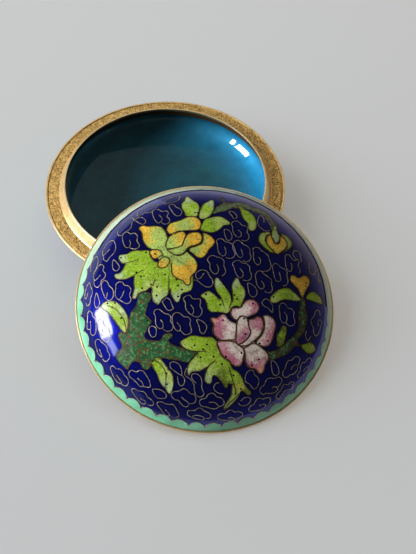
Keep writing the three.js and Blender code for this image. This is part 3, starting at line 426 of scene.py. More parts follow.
def spline(points, closed, step):
    """A smooth curve through the points, sampled about every step millimetres."""
    p = np.asarray(points, float)
    n = len(p)
    out = []
    last = n if closed else n - 1
    for i in range(last):
        p0 = p[(i - 1) % n] if closed or i > 0 else 2 * p[0] - p[1]
        p1, p2 = p[i], p[(i + 1) % n]
        p3 = p[(i + 2) % n] if closed or i + 2 < n else 2 * p[-1] - p[-2]
        t1 = max(np.linalg.norm(p1 - p0), 1e-3) ** 0.5
        t2 = max(np.linalg.norm(p2 - p1), 1e-3) ** 0.5
        t3 = max(np.linalg.norm(p3 - p2), 1e-3) ** 0.5
        m1 = (p2 - p1) + t2 * ((p1 - p0) / t1 - (p2 - p0) / (t1 + t2))
        m2 = (p2 - p1) + t2 * ((p3 - p2) / t3 - (p3 - p1) / (t2 + t3))
        k = max(1, int(round(np.linalg.norm(p2 - p1) / step)))
        for s in range(k):
            t = s / k
            h = (2 * t ** 3 - 3 * t ** 2 + 1, t ** 3 - 2 * t ** 2 + t, -2 * t ** 3 + 3 * t ** 2, t ** 3 - t ** 2)
            out.append(h[0] * p1 + h[1] * m1 + h[2] * p2 + h[3] * m2)
    if not closed:
        out.append(p[-1])
    return np.array(out)


class Unrolled:
    """A turned surface laid flat: as a disc for a dome, as a strip for a wall."""

    def __init__(self, r, z, disc):
        self.rr, self.zz, self.disc = np.asarray(r), np.asarray(z), disc
        self.ss = np.r_[0, np.cumsum(np.hypot(np.diff(self.rr), np.diff(self.zz)))]
        self.length = float(self.ss[-1])
        self.ref = float(self.rr.max())

    def raw(self, uv):
        uv = np.atleast_2d(np.asarray(uv, float))
        if self.disc:
            s = np.hypot(uv[:, 0], uv[:, 1])
            a = np.arctan2(uv[:, 1], uv[:, 0])
        else:
            s, a = uv[:, 1], uv[:, 0] / self.ref
        s = np.clip(s, 0, self.length)
        r, z = np.interp(s, self.ss, self.rr), np.interp(s, self.ss, self.zz)
        return np.c_[r * np.cos(a), r * np.sin(a), z], s, a

    def frame(self, uv):
        """Points and outward normals."""
        p, s, a = self.raw(uv)
        h = 0.25
        s0, s1 = np.clip(s - h, 0, self.length), np.clip(s + h, 0, self.length)
        dr = np.interp(s1, self.ss, self.rr) - np.interp(s0, self.ss, self.rr)
        dz = np.interp(s1, self.ss, self.zz) - np.interp(s0, self.ss, self.zz)
        n = np.c_[-dz * np.cos(a), -dz * np.sin(a), dr] if self.disc else np.c_[dz * np.cos(a), dz * np.sin(a), -dr]
        n /= np.linalg.norm(n, axis=1)[:, None]
        return p, n


def wires(sheet, place, paths, name, material, width, proud, step=0.3, sunk=0.12):
    """One mesh of flat wires set on edge in the enamel: paths are (points, closed, width scale)."""
    verts, faces = [], []
    section = [(-0.5, -1), (-0.5, 0.55), (-0.3, 1), (0.3, 1), (0.5, 0.55), (0.5, -1)]
    for pts, closed, scale in paths:
        q = spline(pts, closed, step)
        if closed and np.linalg.norm(q[0] - q[-1]) < 0.02:
            q = q[:-1]
        n = len(q)
        if n < 3:
            continue
        p, nn = sheet.frame(q)
        if closed:
            t = np.roll(p, -1, 0) - np.roll(p, 1, 0)
        else:
            t = np.gradient(p, axis=0)
        t /= np.maximum(np.linalg.norm(t, axis=1), 1e-9)[:, None]
        side = np.cross(t, nn)
        side /= np.maximum(np.linalg.norm(side, axis=1), 1e-9)[:, None]
        start = len(verts)
        for i in range(n):
            for x, y in section:
                h = proud * y if y > 0 else -sunk
                verts.append(p[i] + side[i] * (x * width * scale) + nn[i] * h)
        m = len(section)
        for i in range(n if closed else n - 1):
            j = (i + 1) % n
            for k in range(m):
                l = (k + 1) % m
                faces.append([start + i * m + k, start + i * m + l, start + j * m + l, start + j * m + k])
        if not closed:
            faces.append([start + k for k in range(m)][::-1])
            faces.append([start + (n - 1) * m + k for k in range(m)])
    obj = make_object(name, place(np.array(verts)), faces, material, smooth_angle=50)
    return obj


def inside(poly, pts):
    """Even-odd test of points against one closed outline."""
    res = np.zeros(len(pts), bool)
    lo_, hi_ = poly.min(0), poly.max(0)
    near = np.nonzero((pts[:, 0] > lo_[0]) & (pts[:, 0] < hi_[0]) & (pts[:, 1] > lo_[1]) & (pts[:, 1] < hi_[1]))[0]
    if not len(near):
        return res
    x, y = pts[near, 0][:, None], pts[near, 1][:, None]
    x0, y0 = poly[:, 0][None], poly[:, 1][None]
    x1, y1 = np.roll(poly[:, 0], -1)[None], np.roll(poly[:, 1], -1)[None]
    cross = ((y0 > y) != (y1 > y)) & (x < (x1 - x0) * (y - y0) / np.where(y1 == y0, 1e-12, y1 - y0) + x0)
    res[near] = cross.sum(1) % 2 == 1
    return res


# --------------------------------------------------------------------- colours
PALETTE = dict(
    amber=srgb(232, 174, 52), yellow=srgb(230, 186, 62), lemon=srgb(198, 190, 74), palelime=srgb(170, 188, 92),
    lime=srgb(144, 176, 38), moss=srgb(100, 120, 34), mint=srgb(168, 192, 112), palemint=srgb(170, 188, 132),
    white=srgb(240, 220, 204), pink=srgb(208, 146, 152), rose=srgb(198, 112, 132), mauve=srgb(172, 110, 134),
    peach=srgb(224, 160, 130),
)
COBALT = srgb(10, 22, 138)
COBALT_DEEP = srgb(5, 8, 74)
MINT = srgb(130, 196, 156)
MINT_DEEP = srgb(86, 166, 124)
BAND_PAINTED_SHEEN = srgb(176, 186, 158)  # the plain band at the back: mint paled with a painted whitish reflection
KIND_COLOUR = dict(branch=srgb(36, 84, 46), branch_grey=srgb(88, 98, 70), branch_dark=srgb(52, 70, 44), leaf2=PALETTE["lime"])


def blotch(x, y, size, seed):
    return noise.noise(Vector((x / size, y / size, seed)))


def blend_anchors(text, uv):
    items = [w.split(",") for w in text.split()]
    at = np.array([[float(a), float(b)] for a, b, _ in items])
    col = np.array([PALETTE[c] for _, _, c in items])
    d = np.linalg.norm(uv[:, None, :] - at[None], axis=2)
    w = 1.0 / np.maximum(d, 0.35) ** 5
    w /= w.sum(1)[:, None]
    return w @ col


# ------------------------------------------------------------------- materials
def new_material(name):
    m = bpy.data.materials.new(name)
    m.use_nodes = True
    nt = m.node_tree
    bsdf = nt.nodes["Principled BSDF"]
    return m, nt, bsdf


def node(nt, kind, **settings):
    n = nt.nodes.new(kind)
    for k, v in settings.items():
        if k in n.inputs:
            n.inputs[k].default_value = v
        else:
            setattr(n, k, v)
    return n


def coords(nt):
    return node(nt, "ShaderNodeTexCoord").outputs["Object"]


def noise_tex(nt, vec, scale, detail=4.0, rough=0.55, distort=0.0):
    n = node(nt, "ShaderNodeTexNoise")
    n.inputs["Scale"].default_value = scale
    n.inputs["Detail"].default_value = detail
    n.inputs["Roughness"].default_value = rough
    n.inputs["Distortion"].default_value = distort
    nt.links.new(vec, n.inputs["Vector"])
    return n.outputs["Fac"]


def ramp(nt, value, lo_, hi_, out_lo=0.0, out_hi=1.0, smooth=True):
    n = node(nt, "ShaderNodeMapRange")
    n.interpolation_type = "SMOOTHSTEP" if smooth else "LINEAR"
    n.inputs["From Min"].default_value = lo_
    n.inputs["From Max"].default_value = hi_
    n.inputs["To Min"].default_value = out_lo
    n.inputs["To Max"].default_value = out_hi
    nt.links.new(value, n.inputs["Value"])
    return n.outputs["Result"]


def mix_colour(nt, fac, a, b, mode="MIX"):
    n = node(nt, "ShaderNodeMix")
    n.data_type = "RGBA"
    n.blend_type = mode
    n.clamp_factor = True
    for socket, v in ((0, fac), (6, a), (7, b)):
        if hasattr(v, "is_output") or isinstance(v, bpy.types.NodeSocket):
            nt.links.new(v, n.inputs[socket])
        elif socket == 0:
            n.inputs[0].default_value = v
        else:
            n.inputs[socket].default_value = (*v, 1.0)
    return n.outputs[2]


def math_node(nt, op, a, b=None):
    n = node(nt, "ShaderNodeMath", operation=op)
    for i, v in enumerate((a, b)):
        if v is None:
            continue
        if isinstance(v, bpy.types.NodeSocket):
            nt.links.new(v, n.inputs[i])
        else:
            n.inputs[i].default_value = v
    return n.outputs[0]


def bump(nt, height, strength, distance, normal=None):
    n = node(nt, "ShaderNodeBump")
    n.inputs["Strength"].default_value = strength
    n.inputs["Distance"].default_value = distance
    nt.links.new(height, n.inputs["Height"])
    if normal is not None:
        nt.links.new(normal, n.inputs["Normal"])
    return n.outputs["Normal"]


def enamel_material(name, speckle, speckle_colour, speckle_size, rough_lo, rough_hi, ripple, pits=0.5, colour=None, second=None, coat=0.0, thin_glass_and_painted_light=None, grains=None, metal=0.0, coat_rough=0.06, specular=0.5, fleck=None):
    """Opaque glass enamel: colour from the mesh or from two mottled colours, fine grain, pinholes, soft gloss."""
    m, nt, bsdf = new_material(name)
    vec = coords(nt)
    if colour is None:
        att = node(nt, "ShaderNodeAttribute")
        att.attribute_type = "GEOMETRY"
        att.attribute_name = "Col"
        base = att.outputs["Color"]
    else:
        base = mix_colour(nt, ramp(nt, noise_tex(nt, vec, 160, 3), 0.35, 0.65), colour, second)
        if thin_glass_and_painted_light is not None:  # zone 1 is paler: the glass thins up the wall, and the side facing the window carries painted light
            zone = node(nt, "ShaderNodeAttribute")
            zone.attribute_type = "GEOMETRY"
            zone.attribute_name = "zone"
            base = mix_colour(nt, zone.outputs["Fac"], base, thin_glass_and_painted_light)
    if grains is not None:  # a mottled glass of crushed grains of two more colours
        g1, g2, _ = cells(nt, vec, grains[2])
        base = mix_colour(nt, ramp(nt, g1, 0.62, 0.9, 0.0, 0.8), base, grains[0])
        base = mix_colour(nt, ramp(nt, g2, 0.6, 0.95, 0.0, 0.7), base, grains[1])
    if fleck is not None:  # a few dark and a few pale grains
        f1, f2, _ = cells(nt, vec, fleck[2])
        base = mix_colour(nt, ramp(nt, f1, 0.74, 1.0, 0.0, 0.55), base, fleck[0])
        base = mix_colour(nt, ramp(nt, f2, 0.74, 1.0, 0.0, 0.35), base, fleck[1])
    grain = noise_tex(nt, vec, 1000.0 / speckle_size, 3, 0.6)
    base = mix_colour(nt, ramp(nt, grain, 0.52, 0.70, 0.0, speckle), base, speckle_colour)
    broad = noise_tex(nt, vec, 330, 3)
    base = mix_colour(nt, ramp(nt, broad, 0.30, 0.70, 0.16, 0.0), base, (0.0, 0.0, 0.0))
    vor = node(nt, "ShaderNodeTexVoronoi")
    vor.inputs["Scale"].default_value = 620
    nt.links.new(vec, vor.inputs["Vector"])
    pit = ramp(nt, vor.outputs["Distance"], 0.05, 0.13, 1.0, 0.0)
    keep = ramp(nt, noise_tex(nt, vec, 900, 1), 0.60, 0.66)
    pit = math_node(nt, "MULTIPLY", pit, keep)
    base = mix_colour(nt, math_node(nt, "MULTIPLY", pit, pits), base, (0.006, 0.005, 0.005))
    nt.links.new(base, bsdf.inputs["Base Color"])
    rough = ramp(nt, noise_tex(nt, vec, 420, 4), 0.30, 0.72, rough_lo, rough_hi)
    nt.links.new(rough, bsdf.inputs["Roughness"])
    h = noise_tex(nt, vec, 260, 2, 0.4)
    n1 = bump(nt, h, ripple, 0.0003)
    n2 = bump(nt, math_node(nt, "MULTIPLY", pit, -1.0), 0.5, 0.0001, n1)
    nt.links.new(n2, bsdf.inputs["Normal"])
    bsdf.inputs["IOR"].default_value = 1.6
    bsdf.inputs["Specular IOR Level"].default_value = specular
    if coat > 0:  # a glassy skin over glass that lets the metal below shine through
        bsdf.inputs["Coat Weight"].default_value = coat
        bsdf.inputs["Coat Roughness"].default_value = coat_rough
        bsdf.inputs["Coat IOR"].default_value = 1.6
        bsdf.inputs["Metallic"].default_value = metal
        nt.links.new(n2, bsdf.inputs["Coat Normal"])
    return m


def cells(nt, vec, size):
    """A random value for each grain of about size millimetres."""
    vor = node(nt, "ShaderNodeTexVoronoi")
    vor.inputs["Scale"].default_value = 1000.0 / size
    nt.links.new(vec, vor.inputs["Vector"])
    split_ = node(nt, "ShaderNodeSeparateColor")
    nt.links.new(vor.outputs["Color"], split_.inputs[0])
    return split_.outputs[0], split_.outputs[1], vor.outputs["Distance"]


def metal_material(name, light, dark, dull, rough_lo, rough_hi, grain=0.45, patina_scale=260, patina_at=(0.45, 0.70), bump_strength=0.25, zoned=False, zone_light=None, bore_painted_shade=None, speck=0.6, metallic=1.0):
    m, nt, bsdf = new_material(name)
    vec = coords(nt)
    tone = mix_colour(nt, ramp(nt, noise_tex(nt, vec, patina_scale, 5, 0.6), *patina_at), light, dark)
    g1, g2, _ = cells(nt, vec, grain)
    fine = noise_tex(nt, vec, 900.0 / grain, 3, 0.7)
    tone = mix_colour(nt, ramp(nt, g1, 0.55, 0.95, 0.0, speck), tone, dull)
    tone = mix_colour(nt, ramp(nt, g2, 0.55, 0.95, 0.0, 0.9 * speck), tone, tuple(min(1.0, c * 1.7) for c in light))
    rough = ramp(nt, noise_tex(nt, vec, 450.0 / grain, 3), 0.3, 0.7, rough_lo, rough_hi)
    height = math_node(nt, "ADD", g1, fine)
    if zoned:  # zone 1 is handled, worn bright metal; zone -1 is the bore, painted dark as shade
        att = node(nt, "ShaderNodeAttribute")
        att.attribute_type = "GEOMETRY"
        att.attribute_name = "zone"
        z = ramp(nt, att.outputs["Fac"], 0.0, 1.0, smooth=False)
        streak = ramp(nt, noise_tex(nt, vec, 500, 3), 0.40, 0.75, 0.0, 0.5)
        worn = mix_colour(nt, streak, zone_light, light)
        tone = mix_colour(nt, z, tone, worn)
        # the bore is darkened here: painted shade
        bore_shade_mask = ramp(nt, att.outputs["Fac"], -1.0, 0.0, 1.0, 0.0, smooth=False)
        tone = mix_colour(nt, bore_shade_mask, tone, bore_painted_shade)
        n = node(nt, "ShaderNodeMix")
        n.data_type = "FLOAT"
        nt.links.new(z, n.inputs[0])
        nt.links.new(rough, n.inputs[2])
        n.inputs[3].default_value = 0.30
        rough = n.outputs[0]
        height = math_node(nt, "MULTIPLY", height, math_node(nt, "SUBTRACT", 1.0, z))
    nt.links.new(tone, bsdf.inputs["Base Color"])
    nt.links.new(rough, bsdf.inputs["Roughness"])
    bsdf.inputs["Metallic"].default_value = metallic
    nt.links.new(bump(nt, height, bump_strength, 0.0001), bsdf.inputs["Normal"])
    return m


MAT_COBALT = enamel_material("enamel_cobalt", 0.35, tuple(srgb(24, 36, 150)), 0.45, 0.34, 0.44, 0.10, coat=1.0, metal=0.9, coat_rough=0.075, specular=0.0)
MAT_MOTIF = enamel_material("enamel_motif", 0.45, tuple(srgb(96, 106, 28)), 0.45, 0.12, 0.24, 0.12, fleck=(tuple(srgb(74, 70, 26)), tuple(srgb(226, 226, 140)), 0.34))
MAT_PETAL = enamel_material("enamel_petal", 0.35, tuple(srgb(168, 80, 96)), 0.45, 0.12, 0.24, 0.12, fleck=(tuple(srgb(140, 60, 76)), tuple(srgb(250, 232, 216)), 0.34))
MAT_BRANCH = enamel_material("enamel_branch", 0.5, tuple(srgb(14, 40, 26)), 0.8, 0.18, 0.34, 0.18, grains=(tuple(srgb(104, 58, 36)), tuple(srgb(88, 148, 88)), 0.55))
MAT_MINT = enamel_material("enamel_mint", 0.18, tuple(srgb(84, 170, 136)), 0.7, 0.08, 0.18, 0.12)
# dark matte glass for the pinholes, and for the painted shadow line along the seam
MAT_PIT_AND_SEAM_SHADOW = enamel_material("enamel_pit_and_seam_shadow", 0.0, (0.01, 0.01, 0.01), 0.6, 0.8, 0.9, 0.1, specular=0.08)
MAT_TURQ = enamel_material("enamel_turquoise", 0.35, tuple(srgb(24, 104, 128)), 0.45, 0.50, 0.60, 0.08,
                           colour=tuple(srgb(18, 92, 104)), second=tuple(srgb(14, 80, 92)), thin_glass_and_painted_light=tuple(srgb(8, 122, 168)), coat=1.0, metal=0.45, coat_rough=0.03, specular=0.2)
MAT_TURQ_DULL = enamel_material("enamel_turquoise_dull", 0.30, tuple(srgb(30, 130, 160)), 0.45, 0.16, 0.3, 0.14,
                                colour=tuple(srgb(20, 96, 126)), second=tuple(srgb(14, 76, 104)))
# the brass's bore colour is painted shade
MAT_BRASS = metal_material("brass_mouth", tuple(srgb(208, 170, 102)), tuple(srgb(176, 134, 72)), tuple(srgb(64, 44, 24)), 0.40, 0.62, grain=0.36, patina_scale=500, patina_at=(0.35, 0.75),
                           bump_strength=0.6, zoned=True, zone_light=tuple(srgb(242, 214, 162)), bore_painted_shade=tuple(srgb(92, 66, 38)), speck=0.85, metallic=0.8)
MAT_WIRE = metal_material("wire_gilt", tuple(srgb(176, 162, 154)), tuple(srgb(142, 128, 120)), tuple(srgb(96, 84, 80)), 0.38, 0.58, bump_strength=0.1, metallic=0.8)
MAT_WIRE_DARK = metal_material("wire_dark", tuple(srgb(96, 70, 46)), tuple(srgb(58, 42, 30)), tuple(srgb(30, 22, 18)), 0.35, 0.6, bump_strength=0.1, metallic=0.8)
MAT_WIRE_PETAL = metal_material("wire_brown", tuple(srgb(128, 90, 56)), tuple(srgb(84, 58, 38)), tuple(srgb(44, 30, 22)), 0.35, 0.6, bump_strength=0.1, metallic=0.8)
MAT_COPPER = metal_material("copper_body", tuple(srgb(196, 126, 84)), tuple(srgb(150, 92, 60)), tuple(srgb(90, 58, 42)), 0.35, 0.6)
MAT_FOOT = metal_material("foot_gilt", tuple(srgb(200, 160, 96)), tuple(srgb(156, 114, 66)), tuple(srgb(96, 70, 42)), 0.3, 0.55, metallic=0.85)


# ----------------------------------------------------------- enamel with inlay
def inlaid(sheet, outline_sets, border, fill_step, colour_of, kinds, pits=(), seed=3):
    """Cuts a flat domain along the motifs' outlines and fills it with small triangles.

    Returns the points and the triangles."""
    pts, edges = [], []

    def loop(q, closed=True):
        s = len(pts)
        pts.extend((float(a), float(b)) for a, b in q)
        n = len(q)
        edges.extend((s + i, s + (i + 1) % n) for i in range(n if closed else n - 1))

    for q, closed in border:
        loop(q, closed)
    for q in outline_sets:
        loop(q)
    for (x, y, r) in pits:
        a = np.linspace(0, 2 * math.pi, 9)[:-1]
        loop(np.c_[x + r * np.cos(a), y + r * np.sin(a)])
        pts.append((float(x), float(y)))
    near = kdtree.KDTree(len(pts))
    for i, p in enumerate(pts):
        near.insert((p[0], p[1], 0), i)
    near.balance()
    for p in fill_step:
        if near.find((p[0], p[1], 0))[2] > 0.16:
            pts.append((float(p[0]), float(p[1])))
    v, _, f, _, _, _ = delaunay_2d_cdt([Vector(p) for p in pts], edges, [], 0, 1e-5, False)
    v = np.array([[p.x, p.y] for p in v])
    f = np.array([list(t) for t in f])
    return v, f


def hexagons(x0, x1, y0, y1, step):
    rows = []
    dy = step * math.sqrt(3) / 2
    j = 0
    y = y0
    while y <= y1:
        x = x0 + (step / 2 if j % 2 else 0)
        while x <= x1:
            rows.append((x, y))
            x += step
        y += dy
        j += 1
    return np.array(rows)


def scalloped(angle):
    """1 where the border is cut in scallops, 0 where it was laid as a plain band."""
    return np.clip(0.5 + 1.8 * np.cos(angle + 0.5), 0, 1)


def scallop_edge(angle, count, joint, depth, phase):
    """Arc length of the scallops' inner edge at an angle."""
    t = np.abs(np.sin(count / 2 * (angle - phase)))
    near = scalloped(angle)
    return joint - 2.4 * (1 - near) - depth * (0.08 + 0.92 * near) * t ** 0.62


# lid, outer enamel
a = np.linspace(0, HALF, 1201)
r_, z_ = LID_OUT.at(a)
LID_SHEET = Unrolled(r_, z_, True)
S_LID = LID_SHEET.length
RIM_N = 480
PHASE = math.radians(-1.9)
angles = np.linspace(0, 2 * math.pi, RIM_N, endpoint=False)
border = [(np.c_[S_LID * np.cos(angles), S_LID * np.sin(angles)], True)]
sc_a = np.linspace(0, 2 * math.pi, SCALLOPS * 16, endpoint=False) + PHASE
sc_s = scallop_edge(sc_a, SCALLOPS, 39.5, 1.75, PHASE)
scallop_line = np.c_[sc_s * np.cos(sc_a), sc_s * np.sin(sc_a)]
seam_s = sc_s - 0.75
seam_line = np.c_[seam_s * np.cos(sc_a), seam_s * np.sin(sc_a)]
motifs = []
for name, kind, text, anchors in MOTIFS:
    motifs.append((name, kind, spline(read_points(text), True, 0.3), anchors))
rng = np.random.default_rng(11)
pits = [(x, y, 0.32) for x, y in read_points(PITS)]
motif_box = [(m[2].min(0), m[2].max(0)) for m in motifs]
while len(pits) < 700:
    s, t = 37.0 * math.sqrt(rng.random()), rng.random() * 2 * math.pi
    x, y = s * math.cos(t), s * math.sin(t)
    on_motif = any((lo_ < (x, y)).all() and ((x, y) < hi_).all() and inside(m[2], np.array([[x, y]]))[0] for m, (lo_, hi_) in zip(motifs, motif_box))
    if (on_motif or rng.random() < 0.10) and min(math.hypot(x - q[0], y - q[1]) for q in pits) > 0.55:
        pits.append((x, y, float(0.07 + 0.10 * rng.random() ** 2)))
fill = hexagons(-41, 41, -41, 41, 0.55)
fill = fill[np.hypot(fill[:, 0], fill[:, 1]) < S_LID - 0.25]
uv, tri = inlaid(LID_SHEET, [scallop_line, seam_line] + [m[2] for m in motifs], border, fill, None, None, pits)
centre = uv[tri].mean(1)
kind = np.zeros(len(tri), int)  # 0 is the ground, 1 the scallops, then 2 + motif, and -1 a pinhole
cs, ca = np.hypot(centre[:, 0], centre[:, 1]), np.arctan2(centre[:, 1], centre[:, 0])
kind[cs > scallop_edge(ca, SCALLOPS, 39.5, 1.75, PHASE)] = 1
for i, m in enumerate(motifs):
    kind[inside(m[2], centre) & (cs < 39.0)] = 2 + i
kind[(kind != 1) & (cs > scallop_edge(ca, SCALLOPS, 39.5, 1.75, PHASE) - 0.75) & (scalloped(ca) < 0.15)] = -2  # the dark seam strip inside the plain band, a painted shadow line
pit_at = np.array([(x, y) for x, y, _ in pits])
pit_r = np.array([r for _, _, r in pits])
for i in range(len(pits)):
    kind[np.hypot(centre[:, 0] - pit_at[i, 0], centre[:, 1] - pit_at[i, 1]) < pit_r[i] * 0.9] = -1

wire_paths = [(read_points(t), False, 1.0) for t in CLOUD_WIRES] + [(read_points(t), True, 1.0) for t in TEARDROPS]
wire_tree_pts = np.vstack([spline(p, c, 0.4) for p, c, _ in wire_paths] + [scallop_line] + [m[2] for m in motifs])
tree = kdtree.KDTree(len(wire_tree_pts))
for i, p in enumerate(wire_tree_pts):
    tree.insert((p[0], p[1], 0), i)
tree.balance()
gap = np.array([tree.find((x, y, 0))[2] for x, y in uv])
mottle = np.array([blotch(x, y, 6.0, 1.7) + 0.5 * blotch(x, y, 2.2, 5.1) for x, y in uv])
speck = np.array([blotch(x, y, 1.1, 9.3) for x, y in uv])

corner_uv = uv[tri].reshape(-1, 2)
corner_kind = np.repeat(kind, 3)
corner_v = tri.reshape(-1)
colour = np.zeros((len(corner_uv), 3))
g = np.clip(gap[corner_v] / 0.9, 0, 1)
g = g * g * (3 - 2 * g)
k0 = corner_kind == 0
w = np.clip(0.75 * g + 0.12 + 0.30 * mottle[corner_v], 0, 1)[:, None]
colour[k0] = (COBALT_DEEP * (1 - w) + COBALT * w)[k0]
k1 = corner_kind == 1
w = np.clip(0.6 + 0.5 * mottle[corner_v], 0, 1)[:, None]
colour[k1] = (MINT_DEEP * (1 - w) + MINT * w)[k1]
# the plain band at the back takes the band colour, which holds a painted whitish reflection
plain = (1 - scalloped(np.arctan2(corner_uv[:, 1], corner_uv[:, 0])))[:, None]
colour[k1] = (colour * (1 - plain) + BAND_PAINTED_SHEEN * plain)[k1]
jitter = rng.normal(0, 0.4, uv.shape)  # crushed glass meets in a ragged, speckled edge
slot_of = {"branch": 3, "branch_grey": 3, "branch_dark": 3}
slot_index = np.zeros(len(tri), int)
slot_index[kind == 1] = 4
slot_index[kind < 0] = 5
for i, (name, mkind, outline, anchors) in enumerate(motifs):
    sel = corner_kind == 2 + i
    if anchors:
        c = blend_anchors(anchors, (uv + jitter)[corner_v[sel]])
    else:
        c = np.tile(KIND_COLOUR.get(mkind, PALETTE["lime"]), (sel.sum(), 1))
    edge = np.clip(gap[corner_v][sel] / 0.5, 0, 1)[:, None]
    c = c * (0.62 + 0.38 * edge) * (1 + 0.16 * speck[corner_v][sel] + 0.10 * mottle[corner_v][sel])[:, None]
    colour[sel] = np.clip(c, 0, 1)
    slot_index[kind == 2 + i] = slot_of.get(mkind, 2 if name.startswith("P_") else 1)
colour[corner_kind == -1] = (0.008, 0.006, 0.005)
# the seam strip is painted near-black as a shadow line along the joint
colour[corner_kind == -2] = (0.006, 0.007, 0.03)

p, nrm = LID_SHEET.frame(uv)
dip = np.zeros(len(uv))
for i in range(len(pits)):
    d = np.hypot(uv[:, 0] - pit_at[i, 0], uv[:, 1] - pit_at[i, 1])
    dip[d < pit_r[i] * 0.3] = pit_r[i] * 0.6
wave = np.array([blotch(x, y, 7.0, 3.3) * 0.035 + blotch(x, y, 2.5, 8.8) * 0.008 for x, y in uv])
edge_fade = np.clip((S_LID - np.hypot(uv[:, 0], uv[:, 1])) / 1.5, 0, 1)
p = p + nrm * (wave * edge_fade - dip)[:, None]
gx = np.array([[(blotch(x + 0.3, y, 7.0, 3.3) - blotch(x - 0.3, y, 7.0, 3.3)) * 0.035 / 0.6 + (blotch(x + 0.1, y, 2.5, 8.8) - blotch(x - 0.1, y, 2.5, 8.8)) * 0.008 / 0.2,
                (blotch(x, y + 0.3, 7.0, 3.3) - blotch(x, y - 0.3, 7.0, 3.3)) * 0.035 / 0.6 + (blotch(x, y + 0.1, 2.5, 8.8) - blotch(x, y - 0.1, 2.5, 8.8)) * 0.008 / 0.2] for x, y in uv])
tx, _ = LID_SHEET.frame(uv + [0.05, 0])
ty, _ = LID_SHEET.frame(uv + [0, 0.05])
q0, _ = LID_SHEET.frame(uv)
tx, ty = (tx - q0) / 0.05, (ty - q0) / 0.05
nrm = nrm - (tx * gx[:, :1] + ty * gx[:, 1:]) * edge_fade[:, None]
nrm /= np.linalg.norm(nrm, axis=1)[:, None]
# the enamel's back, against the copper, closes the piece
back_a = np.linspace(HALF, 0, 14)
br, bz = layer(LID_IN, LID_OUT, COPPER_TO, back_a)
rim_index = np.argsort(np.where(np.hypot(uv[:, 0], uv[:, 1]) > S_LID - 1e-3, np.round(np.arctan2(uv[:, 1], uv[:, 0]) % (2 * math.pi), 6), 99))[:RIM_N]
verts = [p]
prev = rim_index
count = len(p)
back_faces, back_normals = [], []
for j in range(len(back_a)):
    if br[j] < 1e-6:
        verts.append(np.array([[0, 0, bz[j]]]))
        back_normals.append(np.array([[0, 0, -1.0]]))
        for i in range(RIM_N):
            back_faces.append([int(prev[(i + 1) % RIM_N]), int(prev[i]), count])
        count += 1
        break
    row = np.c_[br[j] * np.cos(angles), br[j] * np.sin(angles), np.full(RIM_N, bz[j])]
    verts.append(row)
    back_normals.append(np.c_[-0.3 * np.cos(angles), -0.3 * np.sin(angles), np.full(RIM_N, -0.95)])
    ids = np.arange(count, count + RIM_N)
    for i in range(RIM_N):
        k = (i + 1) % RIM_N
        back_faces.append([int(prev[k]), int(prev[i]), int(ids[i]), int(ids[k])])
    prev = ids
    count += RIM_N
all_v = on_lid(np.vstack(verts))
all_n = np.vstack([nrm] + back_normals) @ LID_ROT.T
faces = [list(map(int, t)) for t in tri]
corner_colours = np.vstack([colour, np.tile(COBALT_DEEP, (sum(len(f) for f in back_faces), 1))])
lid_outside = make_object("lid_enamel_picture", all_v, faces + back_faces, MAT_COBALT, node="lid_enamel_outside",
                          normals=all_n, colours=corner_colours, extra_materials=(MAT_MOTIF, MAT_PETAL, MAT_BRANCH, MAT_MINT, MAT_PIT_AND_SEAM_SHADOW),
                          material_index=np.r_[slot_index, np.zeros(len(back_faces), int)])

# its wires: gilt for the clouds and scallops, dark for the flowers and leaves
hooks = []
for i in range(SCALLOPS):
    t = PHASE + 2 * math.pi * i / SCALLOPS
    if scalloped(t) < 0.6:
        continue
    s0 = 39.45
    u, v = np.array([math.cos(t), math.sin(t)]), np.array([-math.sin(t), math.cos(t)])
    side = 1 if i % 2 else -1
    hooks.append((np.array([u * s0, u * (s0 - 0.6) + v * 0.1 * side, u * (s0 - 1.1) + v * 0.45 * side, u * (s0 - 0.8) + v * 0.75 * side]), False, 0.7))
wires(LID_SHEET, on_lid, wire_paths + [(scallop_line, True, 0.75)] + hooks, "lid_cloud_wires", MAT_WIRE, 0.19, 0.05)
dark_paths, petal_paths = [], []
for i, m in enumerate(motifs):
    if m[0].endswith("core"):
        continue
    pts = m[2]
    hidden = np.zeros(len(pts), bool)
    for j, other in enumerate(motifs):
        if other[0] == "Y_core" and m[0] in ("Y_A", "Y_D"):
            hidden |= np.linalg.norm(pts[:, None] - other[2][None], axis=2).min(1) < 0.5
        if j <= i:
            continue
        deep = inside(other[2], pts)
        if deep.any():
            deep[deep] = np.linalg.norm(pts[deep][:, None] - other[2][None], axis=2).min(1) > 0.45
        hidden |= deep
    scale = 1.35 if m[0].startswith("P_") else 1.1 if m[0].startswith(("Y_", "bell")) else 0.85
    into = petal_paths if m[0].startswith("P_") else dark_paths
    if not hidden.any():
        into.append((pts[::2], True, scale))
        continue
    start = int(np.argmax(hidden))
    run = []
    for k in list(range(start, len(pts))) + list(range(start + 1)):
        if hidden[k]:
            if len(run) > 5:
                into.append((np.array(run)[::2], False, scale))
            run = []
        else:
            run.append(pts[k])
dark_paths += [(read_points(t), False, 0.9) for t in VEINS]
wires(LID_SHEET, on_lid, dark_paths, "lid_motif_wires", MAT_WIRE_DARK, 0.28, 0.04)
wires(LID_SHEET, on_lid, petal_paths, "lid_petal_wires", MAT_WIRE_PETAL, 0.27, 0.04)

# ----------------------------------------------------------- turned metal parts
shell_in = lambda t, a0, a1, n: arc(LID_IN, LID_OUT, t, a0, a1, n)


def lathe_object(name, section, place, material, node_name=None, smooth_angle=35, zone_of=None, wobble=None, segments=240):
    v, f, rows = turned(section, place, segments, wobble)
    zones = None
    if zone_of is not None:
        local, _, _ = turned(section, lambda x: x, segments, None)
        zones = [zone_of(math.hypot(x, y), z, math.atan2(y, x)) for x, y, z in local]
    return make_object(name, v, f, material, node=node_name, smooth_angle=smooth_angle, zones=zones)


